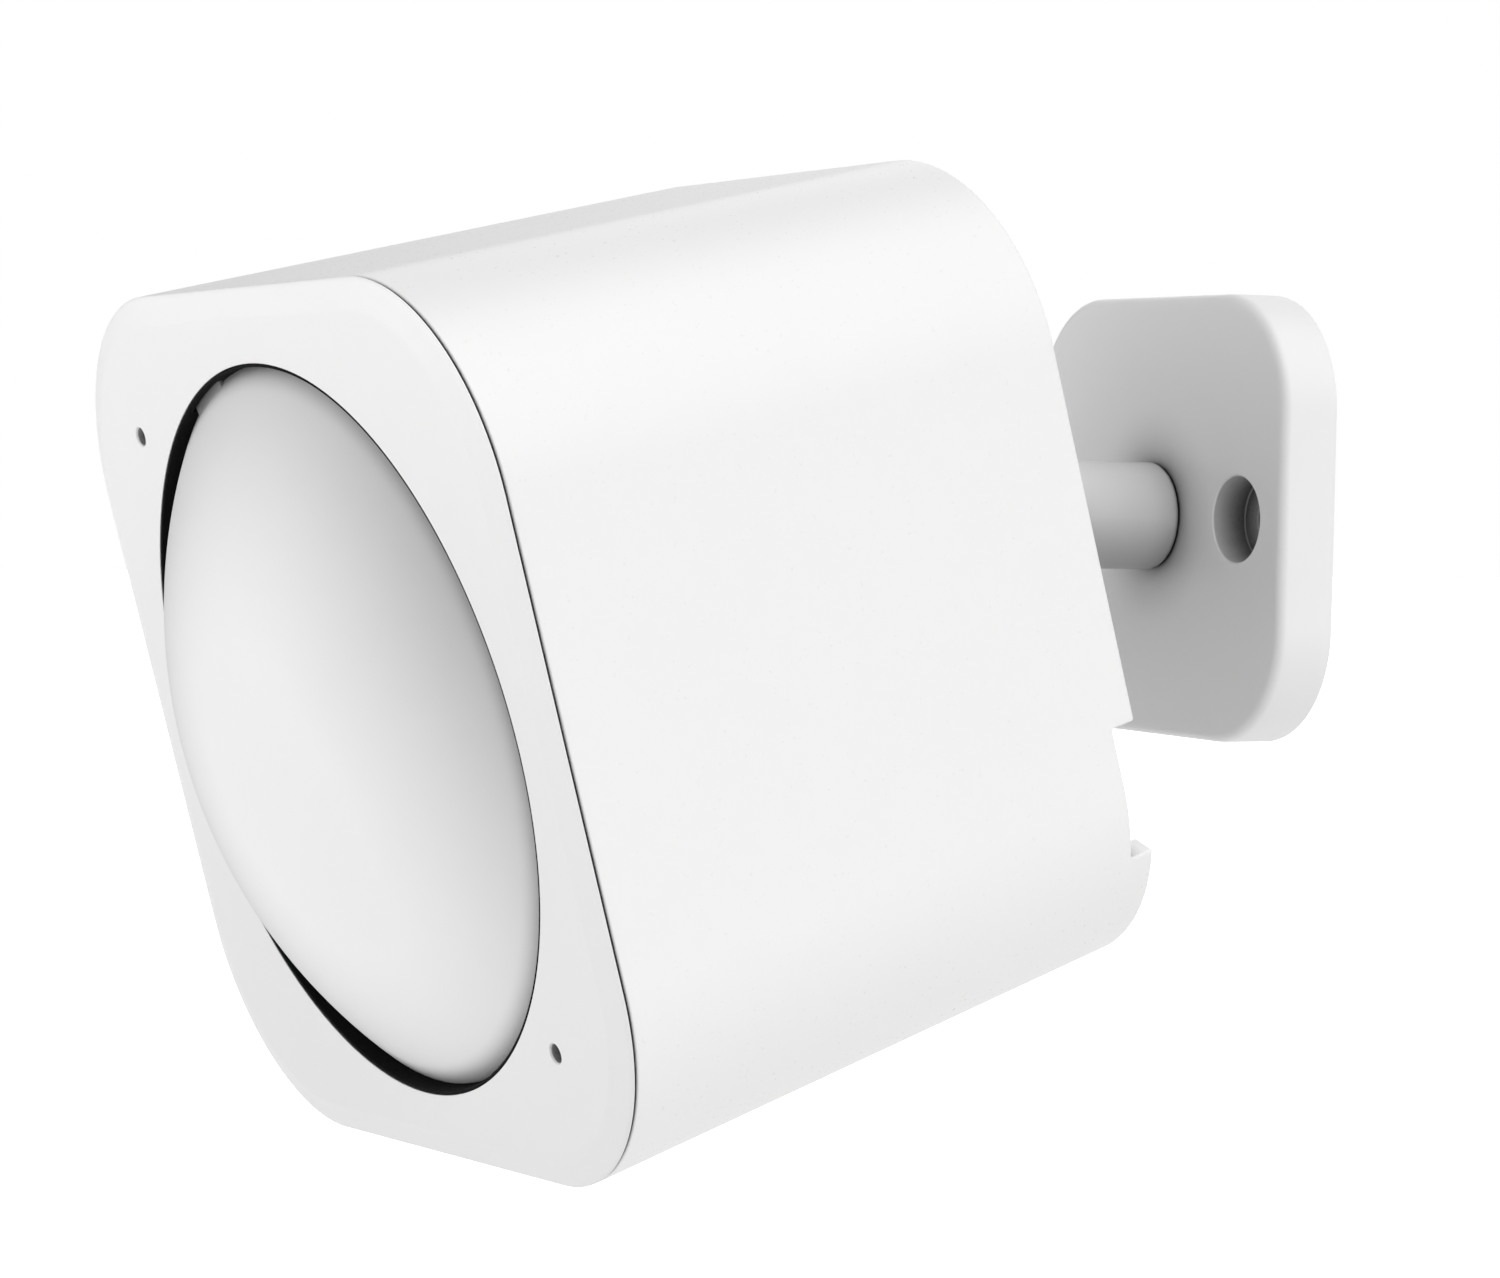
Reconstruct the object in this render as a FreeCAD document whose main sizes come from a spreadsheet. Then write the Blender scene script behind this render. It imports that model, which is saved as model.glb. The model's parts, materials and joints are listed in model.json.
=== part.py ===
# Baby monitor motion-sensing head on a ball-joint wall mount.
# World frame: wall plane Y = 0, viewer towards -Y, +Z up, origin at the plate centre on the wall.
# Local frame used by every piece: x right, y up, z away from the wall (towards the room).
# Head pieces share a local frame whose origin is the ball centre and whose z is the head axis.
import FreeCAD, Part
import itertools
import math
import os
import re
import Sketcher

Vector = FreeCAD.Vector
Rotation = FreeCAD.Rotation
Placement = FreeCAD.Placement

doc = FreeCAD.newDocument("BabyMonitorHead")

# ---------------------------------------------------------------- driving dimensions
# Columns: alias, value, note. A name ending in _dp is a depth, measured back from the
# room-side face of the head for the head pieces.
DIMS = [
    # wall plate
    ("plate_hx", 20.15, "half width"), ("plate_hy", 18.65, "half height"),
    ("plate_corner", 9.8, "corner radius"), ("plate_thk", 5.2, "thickness"),
    ("plate_edge", 0.8, "front edge round"),
    ("mount_x", 13.2, "screw hole offset"), ("mount_bore", 1.7, "screw hole radius"),
    ("mount_sink", 3.6, "counterbore radius"), ("mount_sink_dp", 3.2, "counterbore depth"),
    ("stud_hole", 1.6, "stud screw hole radius"), ("stud_sink", 3.2, "rear counterbore radius"),
    ("stud_sink_dp", 1.9, "rear counterbore depth"),
    # ball stud
    ("stud_rad", 4.55, "post radius"), ("stud_len", 9.4, "plain length of post"),
    ("neck_rad", 3.2, "neck radius"), ("neck_taper", 0.3, "taper length"),
    ("ball_rad", 5.5, "ball radius"), ("ball_dist", 19.07, "ball centre to wall"),
    ("spigot_rad", 3.0, "stud spigot radius"), ("spigot_len", 2.2, "stud spigot length"),
    ("run_gap", 0.05, "running clearance"),
    # head shell
    ("face_z", 64.73, "ball centre to face"), ("head_half", 34.8, "half width at front"),
    ("head_corner", 16.5, "corner radius at front"), ("rear_half", 32.4, "half width at rear"),
    ("rear_corner", 15.4, "corner radius at rear"), ("head_depth", 50.3, "face to rear rim"),
    ("bevel_in", 2.2, "bevel width"), ("bevel_dp", 0.55, "bevel depth"),
    ("lip_dp", 0.7, "bezel edge depth"), ("seam_w", 0.3, "seam width"),
    ("wall_thk", 2.2, "wall at both ends"), ("wall_mid", 2.8, "wall between ledges"),
    ("ledge_front", 5.1, "front ledge depth"), ("ledge_rear", 45.5, "rear ledge depth"),
    ("notch_top", -12.5, "notch top"), ("notch_bot", -22.8, "notch bottom"),
    ("notch_dp", 2.2, "notch depth"),
    # bezel
    ("open_rad", 29.0, "dome skirt radius"), ("mouth_rad", 29.22, "bezel opening radius"),
    ("mouth_off", -0.2, "bezel opening centre height"), ("recess_rad", 30.2, "gasket recess radius"),
    ("plate_back", 2.55, "bezel plate back depth"), ("spigot_half", 32.2, "bezel spigot half width"),
    ("spigot_in", 30.85, "bezel spigot inner half width"), ("spigot_back", 5.0, "bezel spigot depth"),
    ("pin_off", 23.6, "pinhole offset"), ("pin_rad", 0.74, "pinhole radius"),
    ("post_dp", 14.0, "case screw post depth"), ("ring_dp", 6.0, "pinhole ring depth"),
    # dome
    ("dome_rad", 44.75, "dome outer radius"), ("dome_thk", 1.2, "dome wall"),
    ("dome_back", 35.6, "dome centre behind face"), ("flange_rad", 30.4, "dome flange radius"),
    ("flange_dp", 3.6, "dome flange back depth"), ("tab_angle", 112, "key tab, degrees from x"),
    # fasteners
    ("lug_x", 19.5, "shroud screw x"), ("lug_y", 27.4, "shroud screw y"),
    ("case_off", 23.6, "case screw offset"), ("screw_two", 0.95, "M2 radius"),
    ("screw_case", 1.2, "M2.5 radius"), ("case_seat", 46.6, "case screw seat height"),
    ("tap_gap", 0.02, "tapped hole over screw radius"),
    ("clear_gap", 0.1, "clearance hole over screw radius"),
    # light shroud
    ("shroud_dp", 5.15, "rim back depth"), ("shroud_thk", 1.5, "rim thickness"),
    ("funnel_dp", 21.95, "funnel back depth"), ("funnel_len", 16.8, "funnel length"),
    ("funnel_rear", 8.0, "funnel outer radius at rear"), ("funnel_front", 29.0, "the same at front"),
    ("funnel_wall", 1.8, "funnel radial wall"),
    # rear cover
    ("cover_half", 30.2, "cover half width"), ("cover_corner", 13.1, "cover corner radius"),
    ("cover_out", 47.5, "cover outer face depth"), ("cover_in", 45.52, "cover inner face depth"),
    ("hub_top", 21.3, "top of swivel boss"), ("column_top", 50.1, "top of case screw columns"),
    ("ear_top", 21.2, "top of tray bosses"),
    # swivel
    ("liner_thk", 1.0, "friction liner thickness"), ("liner_top", 3.1, "liner front end"),
    ("socket_out", 8.0, "socket outer radius"), ("socket_back", -0.6, "socket rear end"),
    ("stalk_rad", 5.2, "stalk radius"), ("stalk_start", 9.9, "rear end of plain stalk"),
    ("flange_swivel", 7.2, "swivel flange radius"), ("nut_out", 9.6, "nut outer radius"),
    ("nut_back", -0.9, "rear end of plain nut"), ("nut_cone", 1.1, "nut cone length"),
    ("hub_rad", 11.2, "retainer and boss radius"), ("retainer_thk", 1.5, "retainer thickness"),
    ("retainer_ring", 9.3, "retainer screw circle radius"),
    # boards
    ("board_z", 25.0, "main board rear face"), ("board_thk", 1.6, "board thickness"),
    ("sensor_dp", 24.8, "sensor board rear depth"), ("sensor_hole", 14, "sensor screw offset"),
    ("plug_thk", 1.6, "flex connector height"), ("flex_thk", 0.3, "flex thickness"),
    ("flex_z", 33.0, "rear face of flex run"), ("flex_low", -6.5, "lower flex height"),
    ("flex_high", 8.0, "upper flex height"),
    # controls
    ("usb_x", 25.2, "USB socket x"), ("usb_y", -17.6, "USB socket y"),
    ("usb_z", 18.0, "USB socket rear end"), ("button_x", -18, "button x"),
    ("button_y", 19, "button y"), ("slider_x", 10, "slide switch x"),
    ("slider_y", 21.5, "slide switch y"), ("switch_z", 21.6, "rear face of switches"),
    # battery
    ("cell_rad", 8.2, "cell radius"), ("cell_y", -20.5, "cell height"), ("cell_z", 27.85, "cell axis"),
    ("tray_ear_thk", 1.5, "tray ear thickness"),
    # rest pose
    ("rest_pan", 5.42, "degrees"), ("rest_tilt", 15.48, "degrees"), ("rest_roll", -1.27, "degrees"),
]
sheet = doc.addObject("Spreadsheet::Sheet", "Dims")
for row, (alias, value, note) in enumerate(DIMS, 1):
    sheet.set("A%d" % row, alias)
    sheet.set("B%d" % row, str(value))
    sheet.set("C%d" % row, note)
    sheet.setAlias("B%d" % row, alias)
scratch = doc.addObject("Spreadsheet::Sheet", "Scratch")
doc.recompute()
ALIAS = re.compile(r"\b(" + "|".join(alias for alias, _, _ in DIMS) + r")\b")

# Heights in the head frame, as expressions
COVER_OUT = "(face_z-cover_out)"
COVER_IN = "(face_z-cover_in)"
BOARD_FRONT = "(board_z+board_thk)"
SENSOR_REAR = "(face_z-sensor_dp)"
SENSOR_FRONT = "(face_z-sensor_dp+board_thk)"
EAR_REAR = "(ear_top+run_gap)"
BELOW_COVER = 15  # cuts through the cover start here
# Hole radii for M2 screws
M2_TAPPED = "screw_two+tap_gap"
M2_CLEAR = "screw_two+clear_gap"


# ---------------------------------------------------------------- expressions
def dim(name):
    return float(getattr(sheet, name))


def linked(expr):
    """Expression with every alias pointing at the Dims sheet."""
    return ALIAS.sub(r"Dims.\1", str(expr))


def number_of(expr):
    """Number an expression stands for, through a scratch sheet cell."""
    scratch.set("A1", "=" + linked(expr))
    scratch.recompute()
    return float(scratch.get("A1"))


def bind(obj, **props):
    for prop, expr in props.items():
        obj.setExpression(prop, linked(expr))


def place(obj, x, y, z, prop="Placement"):
    for axis, expr in (("x", x), ("y", y), ("z", z)):
        obj.setExpression("%s.Base.%s" % (prop, axis), linked(expr))


# ---------------------------------------------------------------- sets of (x, y) points
def spread(signs, x, y):
    return [("%d*(%s)" % (sx, x), "%d*(%s)" % (sy, y)) for sx, sy in signs]


def polar(radius, angles):
    return [("(%s)*cos(%d deg)" % (radius, a), "(%s)*sin(%d deg)" % (radius, a)) for a in angles]


CENTRE = (0, 0)
CORNERS = [(1, 1), (-1, 1), (-1, -1), (1, -1)]
LUGS = spread(CORNERS, "lug_x", "lug_y")
SENSOR_HOLES = spread(CORNERS, "sensor_hole", "sensor_hole")
CASE_SCREWS = spread([(1, 1), (-1, -1)], "case_off", "case_off")
PINHOLES = spread([(1, -1), (-1, 1)], "pin_off", "pin_off")
LED, MIC = PINHOLES
RETAINER_HOLES = polar("retainer_ring", (45, 135, 225, 315))
BOARD_HOLES = [(-24.3, -5.0), (24.3, -5.0), (-12, 24.3), (1.5, 24.3)]
EARS = [(-21.6, -14.5), (21.4, -26.0)]
USB = ("usb_x", "usb_y")
BUTTON = ("button_x", "button_y")
SLIDER = ("slider_x", "slider_y")
CELL = (0, "cell_y")

# ---------------------------------------------------------------- basic solids
serial = itertools.count(1)


def numbered(name):
    return "%s_%d" % (name, next(serial))


def new(kind, name):
    return doc.addObject(kind, numbered(name))


def cyl(radius, height, z=0, at=CENTRE, along_x=False):
    """Cylinder from its low end at z, or from its left end when along_x."""
    solid = new("Part::Cylinder", "cyl")
    if along_x:
        solid.Placement = Placement(Vector(), Rotation(Vector(0, 1, 0), 90))
    bind(solid, Radius=radius, Height=height)
    place(solid, *at, z)
    return solid


def cyls(points, radius, height, z):
    return [cyl(radius, height, z, point) for point in points]


def cone(low_radius, high_radius, height, z):
    solid = new("Part::Cone", "cone")
    bind(solid, Radius1=low_radius, Radius2=high_radius, Height=height)
    place(solid, 0, 0, z)
    return solid


def ball(radius, z=0):
    solid = new("Part::Sphere", "sph")
    bind(solid, Radius=radius)
    place(solid, 0, 0, z)
    return solid


def box(size_x, size_y, size_z, z, at=CENTRE):
    """Box centred on the point at, with its low face at z."""
    solid = new("Part::Box", "box")
    bind(solid, Length=size_x, Width=size_y, Height=size_z)
    place(solid, "(%s)-(%s)/2" % (at[0], size_x), "(%s)-(%s)/2" % (at[1], size_y), z)
    return solid


def turned_box(size_x, size_y, size_z, z, at, angle):
    """Box turned about its own vertical axis by angle degrees."""
    holder = compound([box(size_x, size_y, size_z, 0)], "spin")
    holder.Placement = Placement(Vector(), Rotation(Vector(0, 0, 1), angle))
    place(holder, *at, z)
    return holder


def compound(items, name="set"):
    result = new("Part::Compound", name)
    result.Links = items
    return result


def fuse(items):
    if len(items) == 1:
        return items[0]
    result = new("Part::MultiFuse", "fuse")
    result.Shapes = items
    return result


def common(items):
    result = new("Part::MultiCommon", "common")
    result.Shapes = items
    return result


def cut(adds, tools, name="cut"):
    result = new("Part::Cut", name)
    result.Base = fuse(adds)
    result.Tool = fuse(tools)
    return result


# ---------------------------------------------------------------- rounded rectangles
def rounded_sketch(body, half_x, half_y, corner, z, at=CENTRE):
    sketch = body.newObject("Sketcher::SketchObject", numbered("outline"))
    xy_plane = next(f for f in body.Origin.OriginFeatures
                    if getattr(f, "Role", "") == "XY_Plane")
    sketch.AttachmentSupport = [(xy_plane, "")]
    sketch.MapMode = "FlatFace"
    place(sketch, *at, z, prop="AttachmentOffset")
    right, top, radius = number_of(half_x), number_of(half_y), number_of(corner)
    arc_x, arc_y = right - radius, top - radius

    def line(x1, y1, x2, y2):
        sketch.addGeometry(Part.LineSegment(Vector(x1, y1, 0), Vector(x2, y2, 0)), False)

    def arc(x, y, start):
        circle = Part.Circle(Vector(x, y, 0), Vector(0, 0, 1), radius)
        ends = math.radians(start), math.radians(start + 90)
        sketch.addGeometry(Part.ArcOfCircle(circle, *ends), False)

    def constrain(*args):
        return sketch.addConstraint(Sketcher.Constraint(*args))

    # counter-clockwise from the right side
    line(right, -arc_y, right, arc_y)
    arc(arc_x, arc_y, 0)
    line(arc_x, top, -arc_x, top)
    arc(-arc_x, arc_y, 90)
    line(-right, arc_y, -right, -arc_y)
    arc(-arc_x, -arc_y, 180)
    line(-arc_x, -top, arc_x, -top)
    arc(arc_x, -arc_y, 270)
    for i in range(8):
        constrain("Tangent", i, 2, (i + 1) % 8, 1)
    for side in (0, 2, 4, 6):
        constrain("Horizontal" if side % 4 else "Vertical", side)
    for i in (3, 5, 7):
        constrain("Equal", 1, i)
    radius_id = constrain("Radius", 1, radius)
    x_id = constrain("DistanceX", -1, 1, 1, 3, arc_x)
    y_id = constrain("DistanceY", -1, 1, 1, 3, arc_y)
    constrain("Symmetric", 1, 3, 5, 3, -1, 1)
    for index, expr in ((radius_id, corner), (x_id, "(%s)-(%s)" % (half_x, corner)),
                        (y_id, "(%s)-(%s)" % (half_y, corner))):
        sketch.setExpression("Constraints[%d]" % index, linked(expr))
    return sketch


def rounded_prism(half_x, half_y, corner, z, height, at=CENTRE, edge_round=None):
    """Rounded rectangle raised from z; edge_round rounds its top outline."""
    body = new("PartDesign::Body", "body")
    sketch = rounded_sketch(body, half_x, half_y, corner, z, at)
    pad = body.newObject("PartDesign::Pad", numbered("pad"))
    pad.Profile = sketch
    bind(pad, Length=height)
    doc.recompute()
    if edge_round:
        top = pad.Shape.BoundBox.ZMax
        edges = ["Edge%d" % i for i, edge in enumerate(pad.Shape.Edges, 1)
                 if abs(edge.BoundBox.ZMin - top) < 1e-4]
        fillet = body.newObject("PartDesign::Fillet", numbered("round"))
        fillet.Base = (pad, edges)
        bind(fillet, Radius=edge_round)
        doc.recompute()
    return body


def rounded_loft(low, high):
    """Ruled loft between two rounded squares, each (half width, corner radius, z)."""
    body = new("PartDesign::Body", "body")
    sketches = [rounded_sketch(body, half, half, corner, z) for half, corner, z in (low, high)]
    doc.recompute()
    loft = body.newObject("PartDesign::AdditiveLoft", numbered("loft"))
    loft.Profile = sketches[0]
    loft.Sections = sketches[1:]
    loft.Ruled = True
    doc.recompute()
    return body


# ---------------------------------------------------------------- pieces in the world
WALL = Placement(Vector(), Rotation(Vector(1, 0, 0), 90))
pose = Rotation(Vector(0, 0, 1), dim("rest_pan"))
pose = pose.multiply(Rotation(Vector(1, 0, 0), dim("rest_tilt")))
pose = pose.multiply(Rotation(Vector(0, 1, 0), dim("rest_roll")))
HEAD = Placement(Vector(0, -dim("ball_dist"), 0), pose.multiply(WALL.Rotation))

pieces = {}


def finish(name, obj, frame):
    doc.recompute()
    obj.Label = name
    obj.Placement = frame
    pieces[name] = obj


def piece(name, adds, cuts=None, frame=HEAD):
    """Union of adds minus union of cuts."""
    if cuts:
        result = cut(adds, cuts)
    elif len(adds) == 1:
        result = compound(adds, "one")
    else:
        result = fuse(adds)
    finish(name, result, frame)


def group(name, items, frame=HEAD):
    """Separate solids kept as one piece."""
    finish(name, compound(items), frame)


def screws(name, points, z, length, head, shank="screw_two", head_height=1.1,
           sense=1, frame=HEAD):
    """Cross-recessed screws; z is the plane under the head, the tip goes sense*z."""
    items = []
    for point in points:
        if sense > 0:
            shank_z, head_z = z, "(%s)-(%s)" % (z, head_height)
            slot_z = head_z + "-0.1"
        else:
            shank_z, head_z = "(%s)-(%s)" % (z, length), z
            slot_z = "(%s)+(%s)*0.45" % (z, head_height)
        slot_len, slot_width = "(%s)*1.15" % head, "(%s)*0.26" % head
        slot_depth = "(%s)*0.55+0.1" % head_height
        items.append(cut(
            [cyl(shank, length, shank_z, point), cyl(head, head_height, head_z, point)],
            [box(slot_len, slot_width, slot_depth, slot_z, point),
             box(slot_width, slot_len, slot_depth, slot_z, point)], "screw"))
    group(name, items, frame)


# ---------------------------------------------------------------- wall mount
MOUNT_HOLES = [("mount_x", 0), ("-mount_x", 0)]
piece("wall_plate",
      [rounded_prism("plate_hx", "plate_hy", "plate_corner", 0, "plate_thk",
                     edge_round="plate_edge")],
      cyls(MOUNT_HOLES, "mount_bore", "plate_thk+2", -1) +
      cyls(MOUNT_HOLES, "mount_sink", "mount_sink_dp+1", "plate_thk-mount_sink_dp") +
      [cyl("spigot_rad+run_gap", "spigot_len+run_gap+1", "plate_thk-spigot_len-run_gap"),
       cyl("stud_hole", "plate_thk", 0.5), cyl("stud_sink", "stud_sink_dp+1", -1)], WALL)

# Post with a rear spigot, a neck and the ball, bored from the rear for its screw
piece("ball_stud",
      [cyl("stud_rad", "stud_len", "plate_thk"),
       cyl("spigot_rad", "spigot_len+0.5", "plate_thk-spigot_len"),
       cone("stud_rad", "neck_rad", "neck_taper", "plate_thk+stud_len"),
       cyl("neck_rad", "ball_dist-plate_thk-stud_len-neck_taper+0.2",
           "plate_thk+stud_len+neck_taper-0.2"),
       ball("ball_rad", "ball_dist")],
      [cyl(1.27, 9, "plate_thk-spigot_len-0.5")], WALL)

screws("stud_screw", [CENTRE], z=1.85, length=9.0, head=3.0, shank=1.25, head_height=1.5,
       frame=WALL)

# ---------------------------------------------------------------- ball joint, head side
# Cap of a spherical shell over the front of the ball
piece("friction_liner",
      [ball("ball_rad+liner_thk")],
      [ball("ball_rad+run_gap"), box(30, 30, 20, "liner_top-20"), cyl(1.4, 20)])

SOCKET_BALL = "ball_rad+liner_thk+run_gap"
FLANGE_REAR = "(%s+run_gap)" % COVER_IN
piece("swivel_stalk",
      [cyl("socket_out", 7.1, "socket_back"),
       cone("socket_out", "stalk_rad", 3.5, "socket_back+7.1"),
       cyl("stalk_rad", FLANGE_REAR + "+0.01-stalk_start", "stalk_start"),
       cyl("flange_swivel", 2.0, FLANGE_REAR)],
      [ball(SOCKET_BALL), cyl(SOCKET_BALL, 2, -2)])

# Grooved ring round the socket, coned at the rear
piece("clamp_nut",
      [cyl("nut_out", 6.4, "nut_back"), cone(7.0, "nut_out", "nut_cone", "nut_back-nut_cone")],
      [cyl("socket_out+run_gap", 8, "socket_back-run_gap"), ball("ball_rad+run_gap"),
       cyl(4.85, 3, -3.5)] +
      cyls(polar("nut_out+0.22", range(0, 360, 20)), 0.55, 7.0, 0))

piece("swivel_retainer",
      [cyl("hub_rad", "retainer_thk", "hub_top+run_gap")],
      [cyl(4.0, 3, 20.5)] + cyls(RETAINER_HOLES, M2_CLEAR, 4, 20))
screws("retainer_screws", RETAINER_HOLES, z="hub_top+run_gap+retainer_thk", length=4.4,
       head=1.65, sense=-1)

# ---------------------------------------------------------------- housing
# Tapered sleeve with a thinner wall at both ends and a notch in the right rear rim
SLEEVE_REAR = "face_z-head_depth"
piece("outer_sleeve",
      [rounded_loft(("rear_half", "rear_corner", SLEEVE_REAR),
                    ("head_half", "head_corner", "face_z-lip_dp-seam_w"))],
      [rounded_loft(
          ("head_half-wall_thk-0.2", "head_corner-wall_thk", "face_z-ledge_front"),
          ("head_half-wall_thk", "head_corner-wall_thk", "face_z-0.1")),
       rounded_loft(
           ("rear_half-wall_mid-0.1", "rear_corner-wall_mid", SLEEVE_REAR + "-1"),
           ("head_half-wall_mid-0.1", "head_corner-wall_mid", "face_z-2")),
       rounded_loft(
           ("rear_half-wall_thk-0.05", "rear_corner-wall_thk", SLEEVE_REAR + "-1"),
           ("rear_half-wall_thk+0.2", "rear_corner-wall_thk+0.1", "face_z-ledge_rear")),
       box(10, "notch_top-notch_bot", "notch_dp+1", SLEEVE_REAR + "-1",
           at=(32, "(notch_top+notch_bot)/2"))])

# Bevelled face plate with a rear spigot, screw bosses and pinhole rings
MOUTH = (0, "mouth_off")
bezel_face = rounded_loft(("head_half", "head_corner", "face_z-bevel_dp"),
                          ("head_half-bevel_in", "head_corner-bevel_in", "face_z"))
bezel_edge = rounded_prism("head_half", "head_half", "head_corner",
                           "face_z-lip_dp", "lip_dp-bevel_dp")
bezel_spigot = rounded_prism("spigot_half", "spigot_half", "head_corner-head_half+spigot_half",
                             "face_z-spigot_back", "spigot_back-lip_dp")
bezel_hollow = rounded_prism("spigot_in", "spigot_in", "head_corner-head_half+spigot_in",
                             "face_z-spigot_back-1", "spigot_back-plate_back+1")
bezel_shell = cut([bezel_face, bezel_edge, bezel_spigot],
                  [bezel_hollow, cyl("mouth_rad", 20, "face_z-10", MOUTH),
                   cyl("recess_rad", "plate_back-lip_dp+6", "face_z-plate_back-6")])
SHROUD_FRONT = "face_z-shroud_dp+shroud_thk"
piece("front_bezel",
      [bezel_shell] + cyls(LUGS, 2.2, 1.3, SHROUD_FRONT) +
      cyls(CASE_SCREWS, 2.6, 11.6, "face_z-post_dp") + cyls(PINHOLES, 2.8, 3.6, "face_z-ring_dp"),
      cyls(LUGS, M2_TAPPED, 2.6, SHROUD_FRONT + "-0.1") +
      cyls(CASE_SCREWS, "screw_case+tap_gap", 10.6, "face_z-post_dp-0.1") +
      cyls(PINHOLES, "pin_rad", 10, "face_z-ring_dp-1") +
      cyls(PINHOLES, 2.25, 4.45, "face_z-ring_dp-1"))

# Spherical cap on a skirt with a rear flange and a key tab
DOME_CENTRE = "face_z-dome_back"
TAB_ANGLE = dim("tab_angle")
piece("dome_lens",
      [common([ball("dome_rad", DOME_CENTRE), cyl("open_rad", 30, "face_z-flange_dp")]),
       cyl("flange_rad", 1.0, "face_z-flange_dp"),
       turned_box(1.8, 6.0, 0.5, "face_z-1.35", polar("open_rad-0.8", [TAB_ANGLE])[0],
                  TAB_ANGLE)],
      [common([ball("dome_rad-dome_thk", DOME_CENTRE),
               cyl("open_rad-dome_thk", 40, "face_z-10")])])

piece("lens_gasket",
      [cyl("recess_rad-0.1", "plate_back-0.75", "face_z-plate_back"),
       cyl("mouth_rad-0.03", 0.74, "face_z-0.8", MOUTH)],
      [cyl("open_rad+run_gap", "plate_back-1.5", "face_z-plate_back"),
       cyl("mouth_rad-0.3", 3, "face_z-2.0", MOUTH),
       ball("dome_rad+0.06", DOME_CENTRE),
       turned_box(2.2, 6.4, 1.0, "face_z-1.6", polar("open_rad-0.7", [TAB_ANGLE])[0],
                  TAB_ANGLE)])

# ---------------------------------------------------------------- light shroud
SHROUD_REAR = "face_z-shroud_dp"
rim = cut([cyl("flange_rad", "shroud_thk", SHROUD_REAR)], [cyl(26.5, 5, "face_z-7")])
funnel = cut([cone("funnel_rear", "funnel_front", "funnel_len", "face_z-funnel_dp")],
             [cone("funnel_rear-funnel_wall", "funnel_front-funnel_wall", "funnel_len",
                   "face_z-funnel_dp+0.05")])
arms = []
for (sign_x, sign_y), (x, y) in zip(CORNERS, LUGS):
    arm_angle = math.degrees(math.atan2(sign_y * dim("lug_y"), sign_x * dim("lug_x")))
    arms.append(turned_box(4.6, 3.4, "shroud_thk", SHROUD_REAR, (x + "*0.94", y + "*0.94"),
                           arm_angle))
    arms.append(cyl(2.4, "shroud_thk", SHROUD_REAR, (x, y)))
piece("light_shroud",
      [rim, funnel, cyl(8.6, 1.4, "face_z-funnel_dp")] + arms +
      cyls(SENSOR_HOLES, 2.2, 9.9, SENSOR_FRONT),
      [cyl(4.9, 6, "face_z-23")] + cyls(LUGS, M2_CLEAR, 4, "face_z-6.2") +
      cyls(SENSOR_HOLES, M2_TAPPED, 5.2, SENSOR_FRONT + "-0.1"))
screws("shroud_screws", LUGS, z=SHROUD_REAR, length=3.7, head=1.8)

# ---------------------------------------------------------------- front electronics
piece("sensor_board",
      [rounded_prism(17, 17, 2, SENSOR_REAR, "board_thk")],
      cyls(SENSOR_HOLES, M2_CLEAR, 4, SENSOR_REAR + "-1"))
screws("sensor_screws", SENSOR_HOLES, z=SENSOR_REAR, length=6.2, head=1.8)
piece("pir_sensor", [cyl(4.6, 0.8, SENSOR_FRONT), cyl(4.1, 4.2, SENSOR_FRONT)])
piece("pir_window", [box(4.0, 3.0, 0.4, SENSOR_FRONT + "+4.2")])
piece("mic_boot", [cyl(2.2, 4.0, "face_z-6.6", MIC)],
      [cyl(0.7, 8, "face_z-7", MIC), cyl(1.9, 2.8, "face_z-7", MIC)])
piece("mic_capsule", [cyl(1.85, 2.3, "face_z-6.6", MIC)])
piece("light_pipe", [cyl(0.66, 1.5, "face_z-2.8", LED), cyl(2.1, 2.2, "face_z-4.8", LED)])
piece("status_led", [box(2.0, 1.25, 1.0, "face_z-6.65", LED)])
group("corner_boards", cyls(PINHOLES, 2.8, 0.8, "face_z-7.45"))


# ---------------------------------------------------------------- rear cover
def bosses(points, radius, top):
    """Cylinders rooted in the cover and ending at height top."""
    return cyls(points, radius, "%s-%s+0.5" % (top, COVER_IN), COVER_IN + "-0.5")


piece("rear_cover",
      [rounded_prism("cover_half", "cover_half", "cover_corner", COVER_OUT,
                     "cover_out-cover_in")] +
      bosses([CENTRE], "hub_rad", "hub_top") + bosses(CASE_SCREWS, 3.1, "column_top") +
      bosses(BOARD_HOLES, 2.0, "board_z") + bosses(EARS, 2.2, "ear_top"),
      # swivel bore and flange pocket
      [cyl("stalk_rad+run_gap", 10, BELOW_COVER), cyl("flange_swivel+run_gap", 10, COVER_IN),
       # battery opening and door recess
       box(36.4, 16.8, 6, BELOW_COVER, CELL), box(38.4, 18.0, "0.9+2", COVER_OUT + "-2", CELL),
       # USB, button and slide switch openings
       rounded_prism(2.0, 4.9, 1.9, BELOW_COVER, 6, USB),
       cyl(3.08, 6, BELOW_COVER, BUTTON), box(3.9, 1.7, 6, BELOW_COVER, SLIDER)] +
      # screw holes
      cyls(CASE_SCREWS, 2.5, "case_seat-%d" % BELOW_COVER, BELOW_COVER) +
      cyls(CASE_SCREWS, "screw_case+clear_gap", 10, 44) +
      cyls(BOARD_HOLES, M2_TAPPED, 6.1, "board_z-6") +
      cyls(EARS, M2_TAPPED, 3.6, "ear_top-3.5") +
      cyls(RETAINER_HOLES, M2_TAPPED, 3.5, "hub_top-3.3"))
screws("case_screws", CASE_SCREWS, z="case_seat", length=12.6, head=2.3, shank="screw_case",
       head_height=1.6)

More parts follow.
